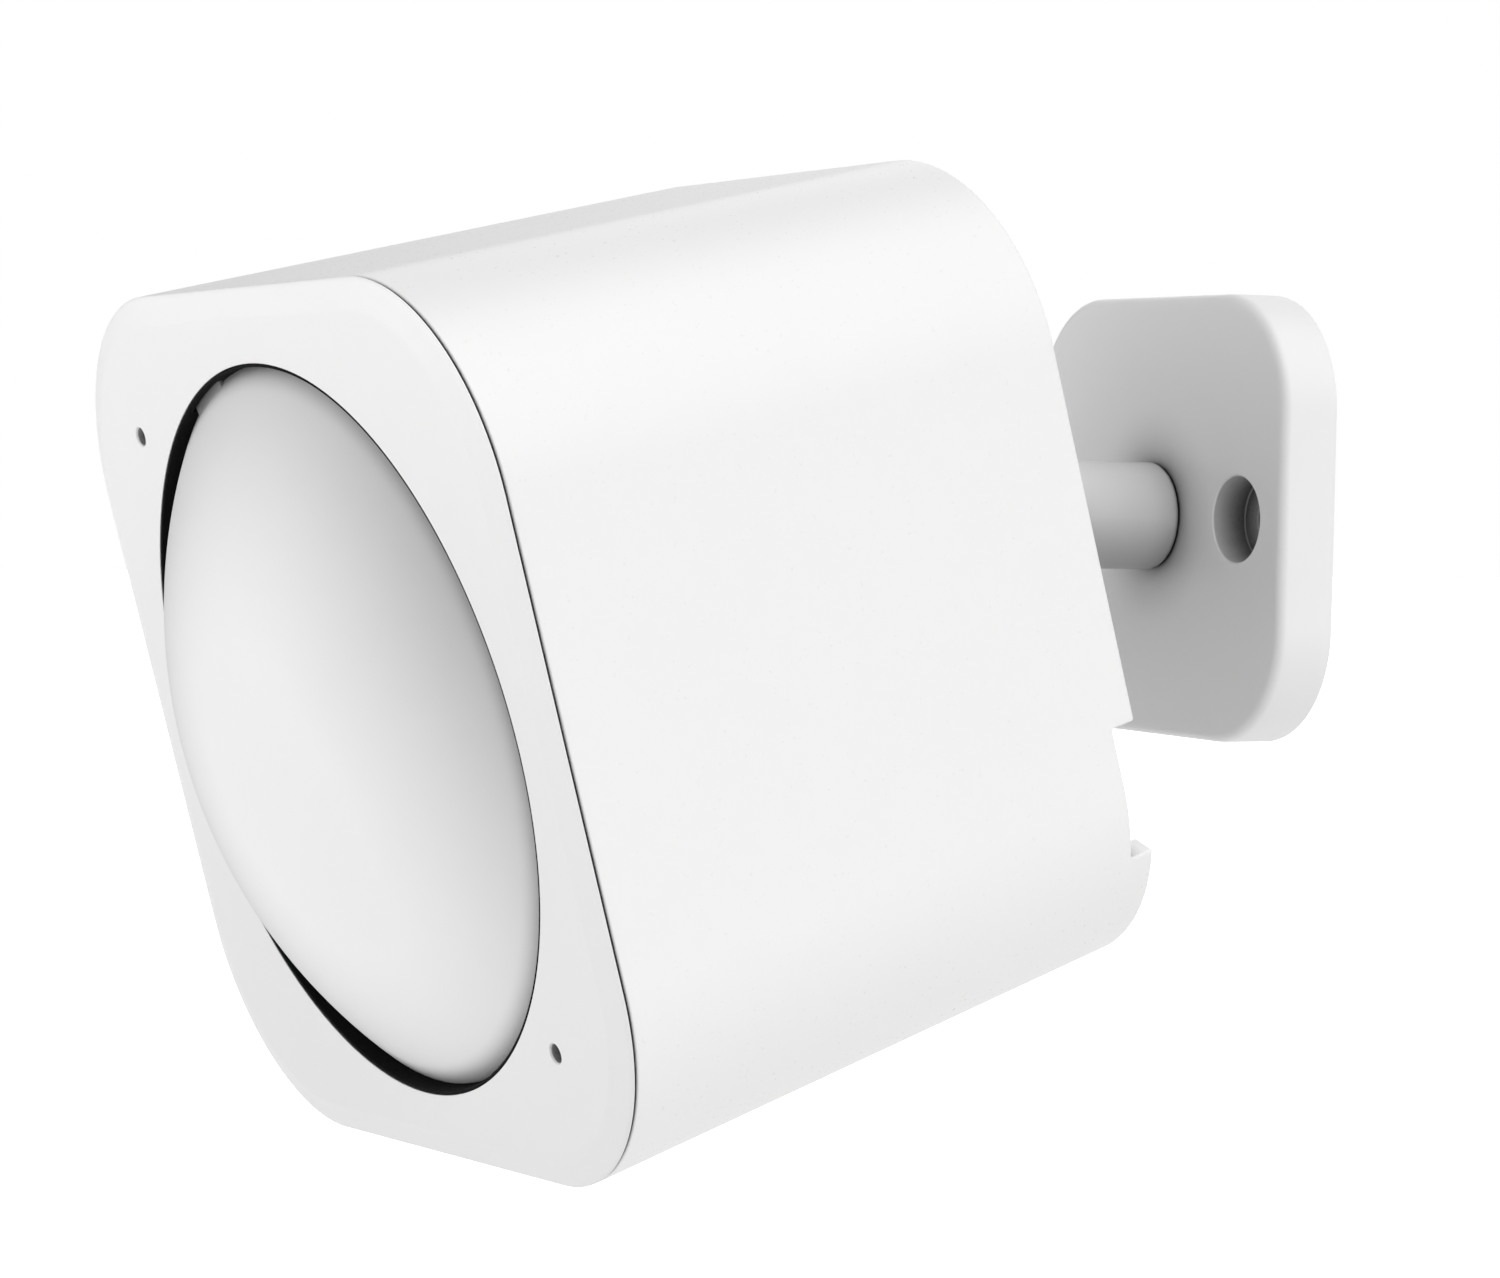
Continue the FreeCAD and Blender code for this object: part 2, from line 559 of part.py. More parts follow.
# ---------------------------------------------------------------- main board
piece("main_board",
      [rounded_prism(27, 19.25, 9.5, "board_z", "board_thk", (0, 8.25)),
       box(7.5, 18, "board_thk", "board_z", (24.2, -14))],
      [cyl(3.5, 4, "board_z-1", CASE_SCREWS[0])] + cyls(BOARD_HOLES, M2_CLEAR, 4, "board_z-1"))
screws("board_screws", BOARD_HOLES, z=BOARD_FRONT, length=5.4, head=1.7, sense=-1)
piece("mcu_chip", [box(8, 8, 1.0, BOARD_FRONT, (-9, 12))])
piece("radio_module",
      [box(15, 18, 0.8, BOARD_FRONT, (9, 10)), box(13, 12, 2.0, BOARD_FRONT + "+0.8", (9, 8))])

# Flex from the main board connector forward, up and forward to the sensor board
LOW, HIGH = (0, "flex_low"), (0, "flex_high")
group("flex_connectors", [box(9.0, 2.6, "plug_thk", BOARD_FRONT, LOW),
                          box(9.0, 2.6, "plug_thk", SENSOR_REAR + "-plug_thk", HIGH)])
piece("flex_cable",
      [box(8.0, "flex_thk", "flex_z+flex_thk-%s-plug_thk" % BOARD_FRONT,
           BOARD_FRONT + "+plug_thk", LOW),
       box(8.0, "flex_high-flex_low+flex_thk", "flex_thk", "flex_z",
           (0, "(flex_low+flex_high)/2")),
       box(8.0, "flex_thk", SENSOR_REAR + "-plug_thk-flex_z", "flex_z", HIGH)])

# ---------------------------------------------------------------- controls
usb_shell = cut([rounded_prism(1.6, 4.5, 1.55, "usb_z", "board_z-usb_z", USB)],
                [rounded_prism(1.3, 4.2, 1.25, "usb_z-1", 7.2, USB)])
piece("usb_socket", [usb_shell, box(0.7, 6.7, 5.8, "usb_z+0.6", USB)])
piece("pair_button", [cyl(3.0, "20.85-(%s-0.6)" % COVER_OUT, COVER_OUT + "-0.6", BUTTON),
                      cyl(4.0, 1.0, 19.3, BUTTON)])
piece("tact_switch", [box(6.2, 6.2, "board_z-switch_z", "switch_z", BUTTON)],
      [cyl(1.75, 3, 20.3, BUTTON)])
piece("tact_plunger", [cyl(1.7, 1.7, 20.9, BUTTON)])
piece("slide_switch", [box(9.0, 4.0, "board_z-switch_z", "switch_z", SLIDER)],
      [box(3.9, 1.7, 2, "switch_z-0.8", SLIDER)])
piece("switch_knob", [box(1.7, 1.5, 5.6, 17.0, ("slider_x-1", "slider_y"))])

# ---------------------------------------------------------------- battery
# Open-backed tray with a screw ear and web on each side
piece("battery_tray",
      [box(38.2, 18.2, "37.4-" + COVER_IN, COVER_IN, CELL)] +
      cyls(EARS, 2.2, "tray_ear_thk", EAR_REAR) +
      [box(4, 3, "tray_ear_thk", EAR_REAR, web) for web in ((-20.4, -14.5), (20.2, -26.0))],
      [box(36.6, 16.8, "36.3-19", 19, CELL)] + cyls(EARS, M2_CLEAR, 4, 20.2))
screws("tray_screws", EARS, z=EAR_REAR + "+tray_ear_thk", length=4.3, head=1.65, sense=-1)
piece("battery_cell",
      [cyl("cell_rad", 32.4, "cell_z", (-15.85, "cell_y"), along_x=True),
       cyl(2.8, 1.2, "cell_z", (16.5, "cell_y"), along_x=True)])
group("battery_contacts", [box(0.4, 10, 10, "cell_z-5", (x, "cell_y")) for x in (-18.05, 17.95)])

# Conical wire spring at the left end of the cell
SPRING_RADIUS = 4.2
helix = new("Part::Helix", "helix")
helix.Pitch = 0.62
helix.Height = 1.55
helix.Radius = SPRING_RADIUS
helix.Angle = -25
wire = new("Part::Circle", "wire")
wire.Radius = 0.2
wire.Placement = Placement(Vector(SPRING_RADIUS, 0, 0), Rotation(Vector(1, 0, 0), 90))
spring = new("Part::Sweep", "sweep")
spring.Sections = [wire]
spring.Spine = (helix, ["Edge1"])
spring.Solid = True
spring.Frenet = True
doc.recompute()
spring.Placement = Placement(Vector(-17.62, dim("cell_y"), dim("cell_z")),
                             Rotation(Vector(0, 1, 0), 90))
group("battery_spring", [spring])

# Door with a hollowed inner step and three grooves outside
piece("battery_door",
      [box(38.2, 17.8, 0.88, COVER_OUT, CELL), box(36.2, 16.6, 1.9, COVER_OUT, CELL)],
      [box(33.0, 13.4, 2, COVER_OUT + "+1.1", CELL)] +
      [box(12, 0.7, 0.6, COVER_OUT + "-0.3", (0, y)) for y in (-13.8, -15.3, -16.8)])

# ---------------------------------------------------------------- check and export
doc.recompute()
bad = [obj.Name for obj in doc.Objects if "Invalid" in obj.State or "Error" in obj.State]
for name, obj in pieces.items():
    shape = obj.Shape
    if shape.isNull() or not shape.isValid() or shape.Volume <= 0:
        bad.append(name)
if bad:
    raise SystemExit("problems: %s" % bad)
os.makedirs("parts", exist_ok=True)
for name, obj in pieces.items():
    obj.Shape.exportStep("parts/%s.step" % name)
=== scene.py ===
# A battery-powered PIR sensor head on a ball-jointed wall mount.
#
# Pieces are drawn in millimetres in one of two frames, then placed in world metres.
# Head frame: origin at the ball centre, z along the head-roll axis out through the dome,
#   x along the travel of the power switch. "Front" is +z and "back" is -z.
# Wall frame: world origin, x along world +X, y along world +Z, z along world -Y, off the wall.
import bpy
import bmesh
import json
import random
from math import asin, atan2, cos, hypot, pi, radians, sin, sqrt
from mathutils import Matrix, Vector


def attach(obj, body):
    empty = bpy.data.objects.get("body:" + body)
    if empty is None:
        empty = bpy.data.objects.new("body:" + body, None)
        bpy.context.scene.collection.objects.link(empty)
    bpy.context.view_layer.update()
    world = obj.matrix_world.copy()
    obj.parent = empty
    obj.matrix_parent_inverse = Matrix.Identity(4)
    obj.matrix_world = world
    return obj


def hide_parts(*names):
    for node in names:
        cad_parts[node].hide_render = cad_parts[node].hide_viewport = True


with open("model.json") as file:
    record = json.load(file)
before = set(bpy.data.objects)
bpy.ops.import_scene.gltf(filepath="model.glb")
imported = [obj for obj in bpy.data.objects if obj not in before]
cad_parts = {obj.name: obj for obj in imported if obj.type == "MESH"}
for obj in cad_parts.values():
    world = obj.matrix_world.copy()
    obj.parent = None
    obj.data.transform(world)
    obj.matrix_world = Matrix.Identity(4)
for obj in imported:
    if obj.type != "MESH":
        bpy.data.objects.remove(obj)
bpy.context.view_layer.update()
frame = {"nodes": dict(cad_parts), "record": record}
record = frame["record"]
joints = {joint["name"]: joint for joint in record["behaviour"]["joints"]}
NODE_BODY = {node: body for body, nodes in record["behaviour"]["bodies"].items() for node in nodes}
SLOT = {part["node"]: part["material_slot"] for part in record["subparts"]}

# ------------------------------------------------------------------ frames
MM = 0.001
HEAD_ORIGIN = Vector(joints["pan"]["pos_m"])
HEAD_Z = Vector(joints["head_roll"]["axis"]).normalized()
slide = Vector(joints["power_switch_slide"]["axis"])
HEAD_X = (slide - HEAD_Z * slide.dot(HEAD_Z)).normalized()
HEAD_Y = HEAD_Z.cross(HEAD_X)
HEAD = Matrix((HEAD_X, HEAD_Y, HEAD_Z)).transposed().to_4x4()
HEAD.translation = HEAD_ORIGIN
WALL = Matrix.Rotation(radians(90), 4, "X")

# ------------------------------------------------------------------ shared sizes, mm
FACE = 64.73                    # z of the flat front face
BEZEL_BACK = FACE - 2.6         # back of the bezel plate, where its posts start
SHROUD_FRONT = FACE - 3.65
SHROUD_BACK = FACE - 5.15
SENSOR_FRONT = FACE - 23.2      # sensor board
SENSOR_BACK = FACE - 24.8
LED_BACK = FACE - 6.65
BOARD_BACK, BOARD_FRONT = 25.0, 26.6
COVER_BACK, COVER_FRONT = FACE - 47.5, FACE - 45.52
RETAINER_BACK, RETAINER_FRONT = 21.35, 22.85
SWITCH_BACK = 21.6              # both switch housings

REAR_HALF, REAR_CORNER = 32.4, 15.4      # sleeve half width and corner radius at the rear
FRONT_HALF, FRONT_CORNER = 34.8, 16.5    # the same at the front, shared with the bezel
MOUTH, MOUTH_Y = 29.22, -0.2             # bezel opening: radius and centre y
KEY_ANGLE = 112                          # degrees round the dome to its key

PILOT, CLEARANCE = 0.97, 1.05            # hole radii for the small screws
CORNER = 23.6
SCREW_CORNERS = [(CORNER, CORNER), (-CORNER, -CORNER)]
PIN_CORNERS = [(CORNER, -CORNER), (-CORNER, CORNER)]
LUGS = [(19.5, 27.4), (-19.5, 27.4), (-19.5, -27.4), (19.5, -27.4)]
SENSOR_POSTS = [(14, 14), (-14, 14), (-14, -14), (14, -14)]
BOARD_POSTS = [(-24.3, -5.0), (24.3, -5.0), (-12, 24.3), (1.5, 24.3)]
TRAY_POSTS = [(-21.6, -14.5), (21.4, -26.0)]
BUTTON = (-18, 19)
SWITCH = (10, 21.5)
SOCKET = (25.2, -17.6)
BAY_Y = -20.5                            # battery bay centre
CHIP = (-9, 12)


# ------------------------------------------------------------------ node helpers
def feed(tree, node, inputs):
    """Fills inputs: a socket is linked, anything else is set as the value."""
    for key, value in inputs.items():
        if isinstance(value, bpy.types.NodeSocket):
            tree.links.new(value, node.inputs[key])
        else:
            node.inputs[key].default_value = value


def add_node(tree, kind, inputs={}, **settings):
    node = tree.nodes.new("ShaderNode" + kind)
    for key, value in settings.items():
        setattr(node, key, value)
    feed(tree, node, inputs)
    return node


def new_material(name):
    material = bpy.data.materials.new(name)
    material.use_nodes = True
    tree = material.node_tree
    tree.nodes.clear()
    output = add_node(tree, "OutputMaterial")
    bsdf = add_node(tree, "BsdfPrincipled")
    tree.links.new(bsdf.outputs[0], output.inputs[0])
    return material, tree, bsdf


def object_coords(tree, scale=(1, 1, 1)):
    point = add_node(tree, "TexCoord").outputs["Object"]
    return add_node(tree, "Mapping", {"Scale": scale, "Vector": point}).outputs["Vector"]


def noise(tree, vector, scale, detail=4, rough=0.5):
    inputs = {"Scale": scale, "Detail": detail, "Roughness": rough, "Vector": vector}
    return add_node(tree, "TexNoise", inputs).outputs["Fac"]


def map_range(tree, value, source, target, **settings):
    inputs = {
        "From Min": source[0], "From Max": source[1],
        "To Min": target[0], "To Max": target[1],
        "Value": value,
    }
    return add_node(tree, "MapRange", inputs, **settings).outputs["Result"]


def noise_range(tree, value, low, high):
    """Spreads the useful middle of a noise over low to high."""
    return map_range(tree, value, (0.3, 0.7), (low, high))


def tone_ramp(tree, value, low, high):
    """Blends two colours over the useful middle of a noise."""
    ramp = add_node(tree, "ValToRGB", {"Fac": value})
    stops = ((0.3, low), (0.7, high))
    for element, (position, color) in zip(ramp.color_ramp.elements, stops):
        element.position = position
        element.color = (*color, 1)
    return ramp.outputs["Color"]


def scaled(color, factor):
    return tuple(min(1, channel * factor) for channel in color)


def multiply(tree, a, b, factor=1.0):
    return add_node(tree, "MixRGB", {0: factor, 1: a, 2: b}, blend_type="MULTIPLY").outputs[0]


def math_node(tree, operation, *values):
    return add_node(tree, "Math", dict(enumerate(values)), operation=operation).outputs[0]


def bump(tree, bsdf, height, strength, distance):
    inputs = {"Strength": strength, "Distance": distance, "Height": height}
    tree.links.new(add_node(tree, "Bump", inputs).outputs["Normal"], bsdf.inputs["Normal"])


def painted_gap_shade(tree, distance, tone, openness, rays=1):
    """Painted shade: a factor that falls from 1 in the open to tone in narrow gaps."""
    occlusion = add_node(tree, "AmbientOcclusion", {"Distance": distance}, samples=rays)
    return map_range(tree, occlusion.outputs["AO"], openness, (tone, 1.0))


def head_offset(tree):
    """Vector from the ball centre to the shaded point, m."""
    point = add_node(tree, "TexCoord").outputs["Object"]
    inputs = {0: point, 1: tuple(HEAD_ORIGIN)}
    return add_node(tree, "VectorMath", inputs, operation="SUBTRACT").outputs[0]


def along(tree, vector, axis):
    inputs = {0: vector, 1: tuple(axis)}
    return add_node(tree, "VectorMath", inputs, operation="DOT_PRODUCT").outputs["Value"]


# ------------------------------------------------------------------ kinds of material
def plastic(name, color, rough=0.35, vary=0.03, rough_vary=0.05, grain=2600, relief=0.35,
            specular=0.5, subsurface=0.0, crevice=0.0, crevice_tone=0.05,
            openness=(0.28, 0.82), rays=1, wide_shade=0.0, painted_y_shade=None, painted_underside_shade=None):
    """Moulded plastic with a fine grain.

    vary, rough_vary: spread of tone and of roughness
    crevice, crevice_tone: reach (m) and tone of the shade in slots
    openness, rays: occlusion range and samples for that shade
    wide_shade: reach (m) of a second, softer shade
    painted_y_shade: painted light and shade, the tone factor at the -y and +y ends of the head
    painted_underside_shade: tone of the painted shade where the surface faces down
    """
    material, tree, bsdf = new_material(name)
    point = object_coords(tree)
    broad = noise(tree, point, 55, detail=5)
    fine = noise(tree, point, grain, detail=3, rough=0.6)
    base = tone_ramp(tree, broad, scaled(color, 1 - vary), scaled(color, 1 + vary))
    feed(tree, bsdf, {"Specular IOR Level": specular, "IOR": 1.5})
    if crevice:
        # painted shade in slots, seams and holes, multiplied into the base colour
        tone = painted_gap_shade(tree, crevice, crevice_tone, openness, rays)
        base = multiply(tree, base, tone)
        # painted shade on the gloss too: the same factor dims reflections inside narrow holes
        gloss = math_node(tree, "MULTIPLY", tone, specular)
        feed(tree, bsdf, {"Specular IOR Level": gloss})
    if wide_shade:
        # painted shade, softer and wider, where bigger parts such as the head crowd in
        base = multiply(tree, base, painted_gap_shade(tree, wide_shade, 0.62, (0.35, 0.92)))
    if painted_y_shade:
        # painted light and shade, graded along the head's y
        height = along(tree, head_offset(tree), HEAD_Y)
        base = multiply(tree, base, map_range(tree, height, (-0.033, 0.033), painted_y_shade))
    if painted_underside_shade:
        # painted shade on faces that look down
        normal = add_node(tree, "NewGeometry").outputs["Normal"]
        facing_up = add_node(tree, "SeparateXYZ", {0: normal}).outputs[2]
        base = multiply(tree, base, map_range(tree, facing_up, (-0.95, 0.0), (painted_underside_shade, 1.0)))
    roughness = noise_range(tree, fine, rough - rough_vary, rough + rough_vary)
    feed(tree, bsdf, {"Base Color": base, "Roughness": roughness})
    if subsurface:
        feed(tree, bsdf, {
            "Subsurface Weight": subsurface,
            "Subsurface Radius": (1.0, 0.95, 0.9),
            "Subsurface Scale": 0.002,
        })
    bump(tree, bsdf, fine, strength=relief, distance=0.000012)
    return material


def metal(name, color, rough=0.3, stretch=(1, 1, 1)):
    material, tree, bsdf = new_material(name)
    fine = noise(tree, object_coords(tree, stretch), 900, detail=6, rough=0.65)
    broad = noise(tree, object_coords(tree), 220)
    feed(tree, bsdf, {
        "Base Color": tone_ramp(tree, broad, scaled(color, 0.86), scaled(color, 1.08)),
        "Roughness": noise_range(tree, fine, rough - 0.1, rough + 0.12),
        "Metallic": 1.0,
    })
    bump(tree, bsdf, fine, strength=0.25, distance=0.00001)
    return material


def circuit_board(name):
    """Green solder mask with a fine brick pattern."""
    material, tree, bsdf = new_material(name)
    point = object_coords(tree)
    brick = add_node(tree, "TexBrick", {
        "Scale": 420,
        "Mortar Size": 0.035,
        "Color1": (0.012, 0.11, 0.045, 1),
        "Color2": (0.016, 0.14, 0.06, 1),
        "Mortar": (0.03, 0.23, 0.1, 1),
        "Vector": point,
    })
    blotch = noise(tree, point, 160)
    shade = tone_ramp(tree, blotch, (0.7, 0.7, 0.7), (1, 1, 1))
    feed(tree, bsdf, {
        "Base Color": multiply(tree, brick.outputs["Color"], shade, factor=0.5),
        "Roughness": noise_range(tree, blotch, 0.22, 0.34),
    })
    bump(tree, bsdf, brick.outputs["Fac"], strength=0.3, distance=0.00002)
    return material


def clear(name):
    material, tree, bsdf = new_material(name)
    haze = noise(tree, object_coords(tree), 700)
    feed(tree, bsdf, {
        "Base Color": tone_ramp(tree, haze, (0.86, 0.9, 0.92), (0.95, 0.97, 0.98)),
        "Roughness": noise_range(tree, haze, 0.04, 0.12),
        "Transmission Weight": 0.9,
        "IOR": 1.49,
    })
    bump(tree, bsdf, haze, strength=0.1, distance=0.00001)
    return material


# Painted shade on the dome wall, a fitted drift of light to dark: a constant plus weights for x,
# y, x*x, x*y, y*y and edge*edge, where x and y are in units of DOME_SPAN and edge grows from 0.85
# of it outwards.
DOME_PAINTED_SHADE = 1.1539
DOME_PAINTED_SHADE_WEIGHTS = (0.2101, -0.0217, -0.6619, -0.3396, -0.3413, 3.1052)
DOME_SPAN = 0.028               # m
DOME_PAINTED_SHADE_RANGE = (0.5, 1.12)
DOME_ALBEDO = 0.85


def milky(name, tone=1.0):
    """Milky moulded wall with painted shade: a drift of light to dark across it, and a painted
    shadow where it turns under its rim.
    """
    material, tree, bsdf = new_material(name)
    point = object_coords(tree)
    broad = noise(tree, point, 55, detail=5)
    fine = noise(tree, point, 2600, detail=3, rough=0.6)
    offset = head_offset(tree)
    across_x = along(tree, offset, HEAD_X)
    across_y = along(tree, offset, HEAD_Y)
    flat = add_node(tree, "CombineXYZ", {0: across_x, 1: across_y}).outputs[0]
    length = add_node(tree, "VectorMath", {0: flat}, operation="LENGTH")
    distance = length.outputs["Value"]

    def times(a, b):
        return math_node(tree, "MULTIPLY", a, b)

    x = times(across_x, 1 / DOME_SPAN)
    y = times(across_y, 1 / DOME_SPAN)
    beyond = math_node(tree, "SUBTRACT", times(distance, 1 / DOME_SPAN), 0.85)
    edge = math_node(tree, "MAXIMUM", beyond, 0.0)
    terms = (x, y, times(x, x), times(x, y), times(y, y), times(edge, edge))
    total = DOME_PAINTED_SHADE
    for term, weight in zip(terms, DOME_PAINTED_SHADE_WEIGHTS):
        total = math_node(tree, "ADD", times(term, weight), total)
    albedo = [limit * DOME_ALBEDO * tone for limit in DOME_PAINTED_SHADE_RANGE]
    # painted shade: the fitted light-to-dark drift scales the albedo
    color = map_range(tree, total, DOME_PAINTED_SHADE_RANGE, albedo)
    # painted shadow near the rim, where the bezel's edge shades the dome
    rim = map_range(tree, distance, (0.0268, 0.0288), (1.0, 0.62),
                    interpolation_type="SMOOTHSTEP")
    color = multiply(tree, color, rim)
    color = multiply(tree, color, tone_ramp(tree, broad, (0.985, 0.985, 0.985), (1, 1, 1)))
    feed(tree, bsdf, {
        "Base Color": color,
        "Roughness": noise_range(tree, fine, 0.42, 0.5),
        "IOR": 1.42,
        "Subsurface Weight": 0.1,
        "Subsurface Radius": (1.0, 0.97, 0.94),
        "Subsurface Scale": 0.0012,
    })
    bump(tree, bsdf, fine, strength=0.15, distance=0.000012)
    return material


# ------------------------------------------------------------------ the materials
MATERIALS = {
    # painted shade in the seams between parts
    "shell_white": (plastic, dict(
        color=(0.875, 0.875, 0.872), rough=0.30, vary=0.005, rough_vary=0.03, relief=0.10,
        crevice=0.0016, crevice_tone=0.06)),
    # painted shade in the pinholes, and painted light and shade, lighter at the top and darker at
    # the bottom
    "bezel_white": (plastic, dict(
        color=(0.93, 0.93, 0.927), rough=0.42, vary=0.005, rough_vary=0.03, relief=0.12,
        crevice=0.0022, crevice_tone=0.02, openness=(0.42, 0.9), painted_y_shade=(0.90, 1.03))),
    "dome_milky": (milky, {}),
    # painted shade: the key sits down in the gap, so it takes a darker copy of the dome material
    "dome_key": (milky, dict(tone=0.55)),
    "gasket_black": (plastic, dict(
        color=(0.004, 0.004, 0.0045), rough=0.85, vary=0.3, rough_vary=0.08, grain=3200,
        relief=0.4, specular=0.12)),
    # painted shade, black deep in the screw holes, and a wider painted shade where the head hangs
    # over the plate
    "mount_white": (plastic, dict(
        color=(0.85, 0.85, 0.85), rough=0.42, vary=0.006, rough_vary=0.04, relief=0.15,
        crevice=0.005, crevice_tone=0.0, openness=(0.34, 0.86), rays=4, wide_shade=0.045)),
    # painted shade at the post's base, a wider painted shade near the head, and painted shade
    # where it faces down
    "stud_white": (plastic, dict(
        color=(0.765, 0.765, 0.765), rough=0.36, vary=0.012, relief=0.2,
        crevice=0.003, crevice_tone=0.5, wide_shade=0.045, painted_underside_shade=0.55)),
    "black_plastic": (plastic, dict(
        color=(0.018, 0.018, 0.02), rough=0.5, vary=0.25, rough_vary=0.08, relief=0.5)),
    "grey_plastic": (plastic, dict(
        color=(0.36, 0.37, 0.38), rough=0.45, vary=0.04, rough_vary=0.06, relief=0.4)),
    "liner_nylon": (plastic, dict(
        color=(0.68, 0.66, 0.58), rough=0.5, vary=0.05, subsurface=0.2)),
    "screw_steel": (metal, dict(color=(0.62, 0.63, 0.66), rough=0.32)),
    "can_steel": (metal, dict(color=(0.74, 0.71, 0.66), rough=0.28, stretch=(1, 1, 6))),
    "pcb_green": (circuit_board, {}),
    "chip_black": (plastic, dict(
        color=(0.022, 0.022, 0.023), rough=0.55, vary=0.2, rough_vary=0.1, grain=4000,
        relief=0.7)),
    "window_dark": (plastic, dict(
        color=(0.03, 0.02, 0.028), rough=0.12, vary=0.2, rough_vary=0.03, relief=0.1)),
    "clear_plastic": (clear, {}),
    "flex_amber": (plastic, dict(
        color=(0.50, 0.20, 0.03), rough=0.3, vary=0.12, rough_vary=0.06, grain=1500)),
    "connector_ivory": (plastic, dict(color=(0.72, 0.68, 0.55), rough=0.5, vary=0.05)),
    "cell_wrap": (plastic, dict(
        color=(0.025, 0.09, 0.26), rough=0.25, vary=0.1, grain=1800, relief=0.15)),
    "spring_nickel": (metal, dict(color=(0.78, 0.76, 0.72), rough=0.2)),
    "switch_metal": (metal, dict(color=(0.66, 0.66, 0.68), rough=0.3, stretch=(6, 1, 1))),
}
MATERIAL = {name: make(name, **settings) for name, (make, settings) in MATERIALS.items()}

# ------------------------------------------------------------------ outlines and profiles
# Fractions along each straight side where a rounded rectangle has a point.
SIDE = [0.0, 0.045, 0.1324, 0.22, 0.32, 0.41, 0.5, 0.59, 0.68, 0.78, 0.8676, 0.955]
COARSE_SIDE = [0, 0.5]
FINE_SIDE = [i / 28 for i in range(28)]


def rounded_rect(half_x, half_y, corner, arc_steps=40, side=SIDE):
    """Counter-clockwise from the -y end of the +x side."""
    in_x, in_y = half_x - corner, half_y - corner
    centres = [(in_x, in_y), (-in_x, in_y), (-in_x, -in_y), (in_x, -in_y)]
    sides = [
        ((half_x, -in_y), (half_x, in_y)), ((in_x, half_y), (-in_x, half_y)),
        ((-half_x, in_y), (-half_x, -in_y)), ((-in_x, -half_y), (in_x, -half_y)),
    ]
    points = []
    for quarter, ((x0, y0), (x1, y1)) in enumerate(sides):
        for fraction in side:
            points.append((x0 + (x1 - x0) * fraction, y0 + (y1 - y0) * fraction))
        x, y = centres[quarter]
        for i in range(arc_steps):
            angle = radians(90 * quarter + 90 * i / arc_steps)
            points.append((x + corner * cos(angle), y + corner * sin(angle)))
    return points


def level(outline, z, at=(0, 0)):
    return [(x + at[0], y + at[1], z) for x, y in outline]


def inset_rings(half_x, half_y, corner, stations, **style):
    """Rounded rectangles at stations of (inset, z)."""
    return [level(rounded_rect(half_x - inset, half_y - inset, corner - inset, **style), z)
            for inset, z in stations]


def circle(radius, segments, z, at=(0, 0)):
    turns = [2 * pi * i / segments for i in range(segments)]
    return [(at[0] + radius * cos(a), at[1] + radius * sin(a), z) for a in turns]


def polar(radius, degrees):
    return radius * cos(radians(degrees)), radius * sin(radians(degrees))


def arc(radius, start, end, steps, z=0.0):
    """Profile points round a centre on the axis; angles in radians from +z."""
    angles = [start + (end - start) * i / steps for i in range(steps + 1)]
    return [(radius * sin(a), z + radius * cos(a)) for a in angles]


def from_face(profile):
    """Turns (radius, depth behind the face) into (radius, z)."""
    return [(radius, FACE - depth) for radius, depth in profile]


def raised(profile, z):
    """Turns (radius, height above z) into (radius, z)."""
    return [(radius, z + height) for radius, height in profile]


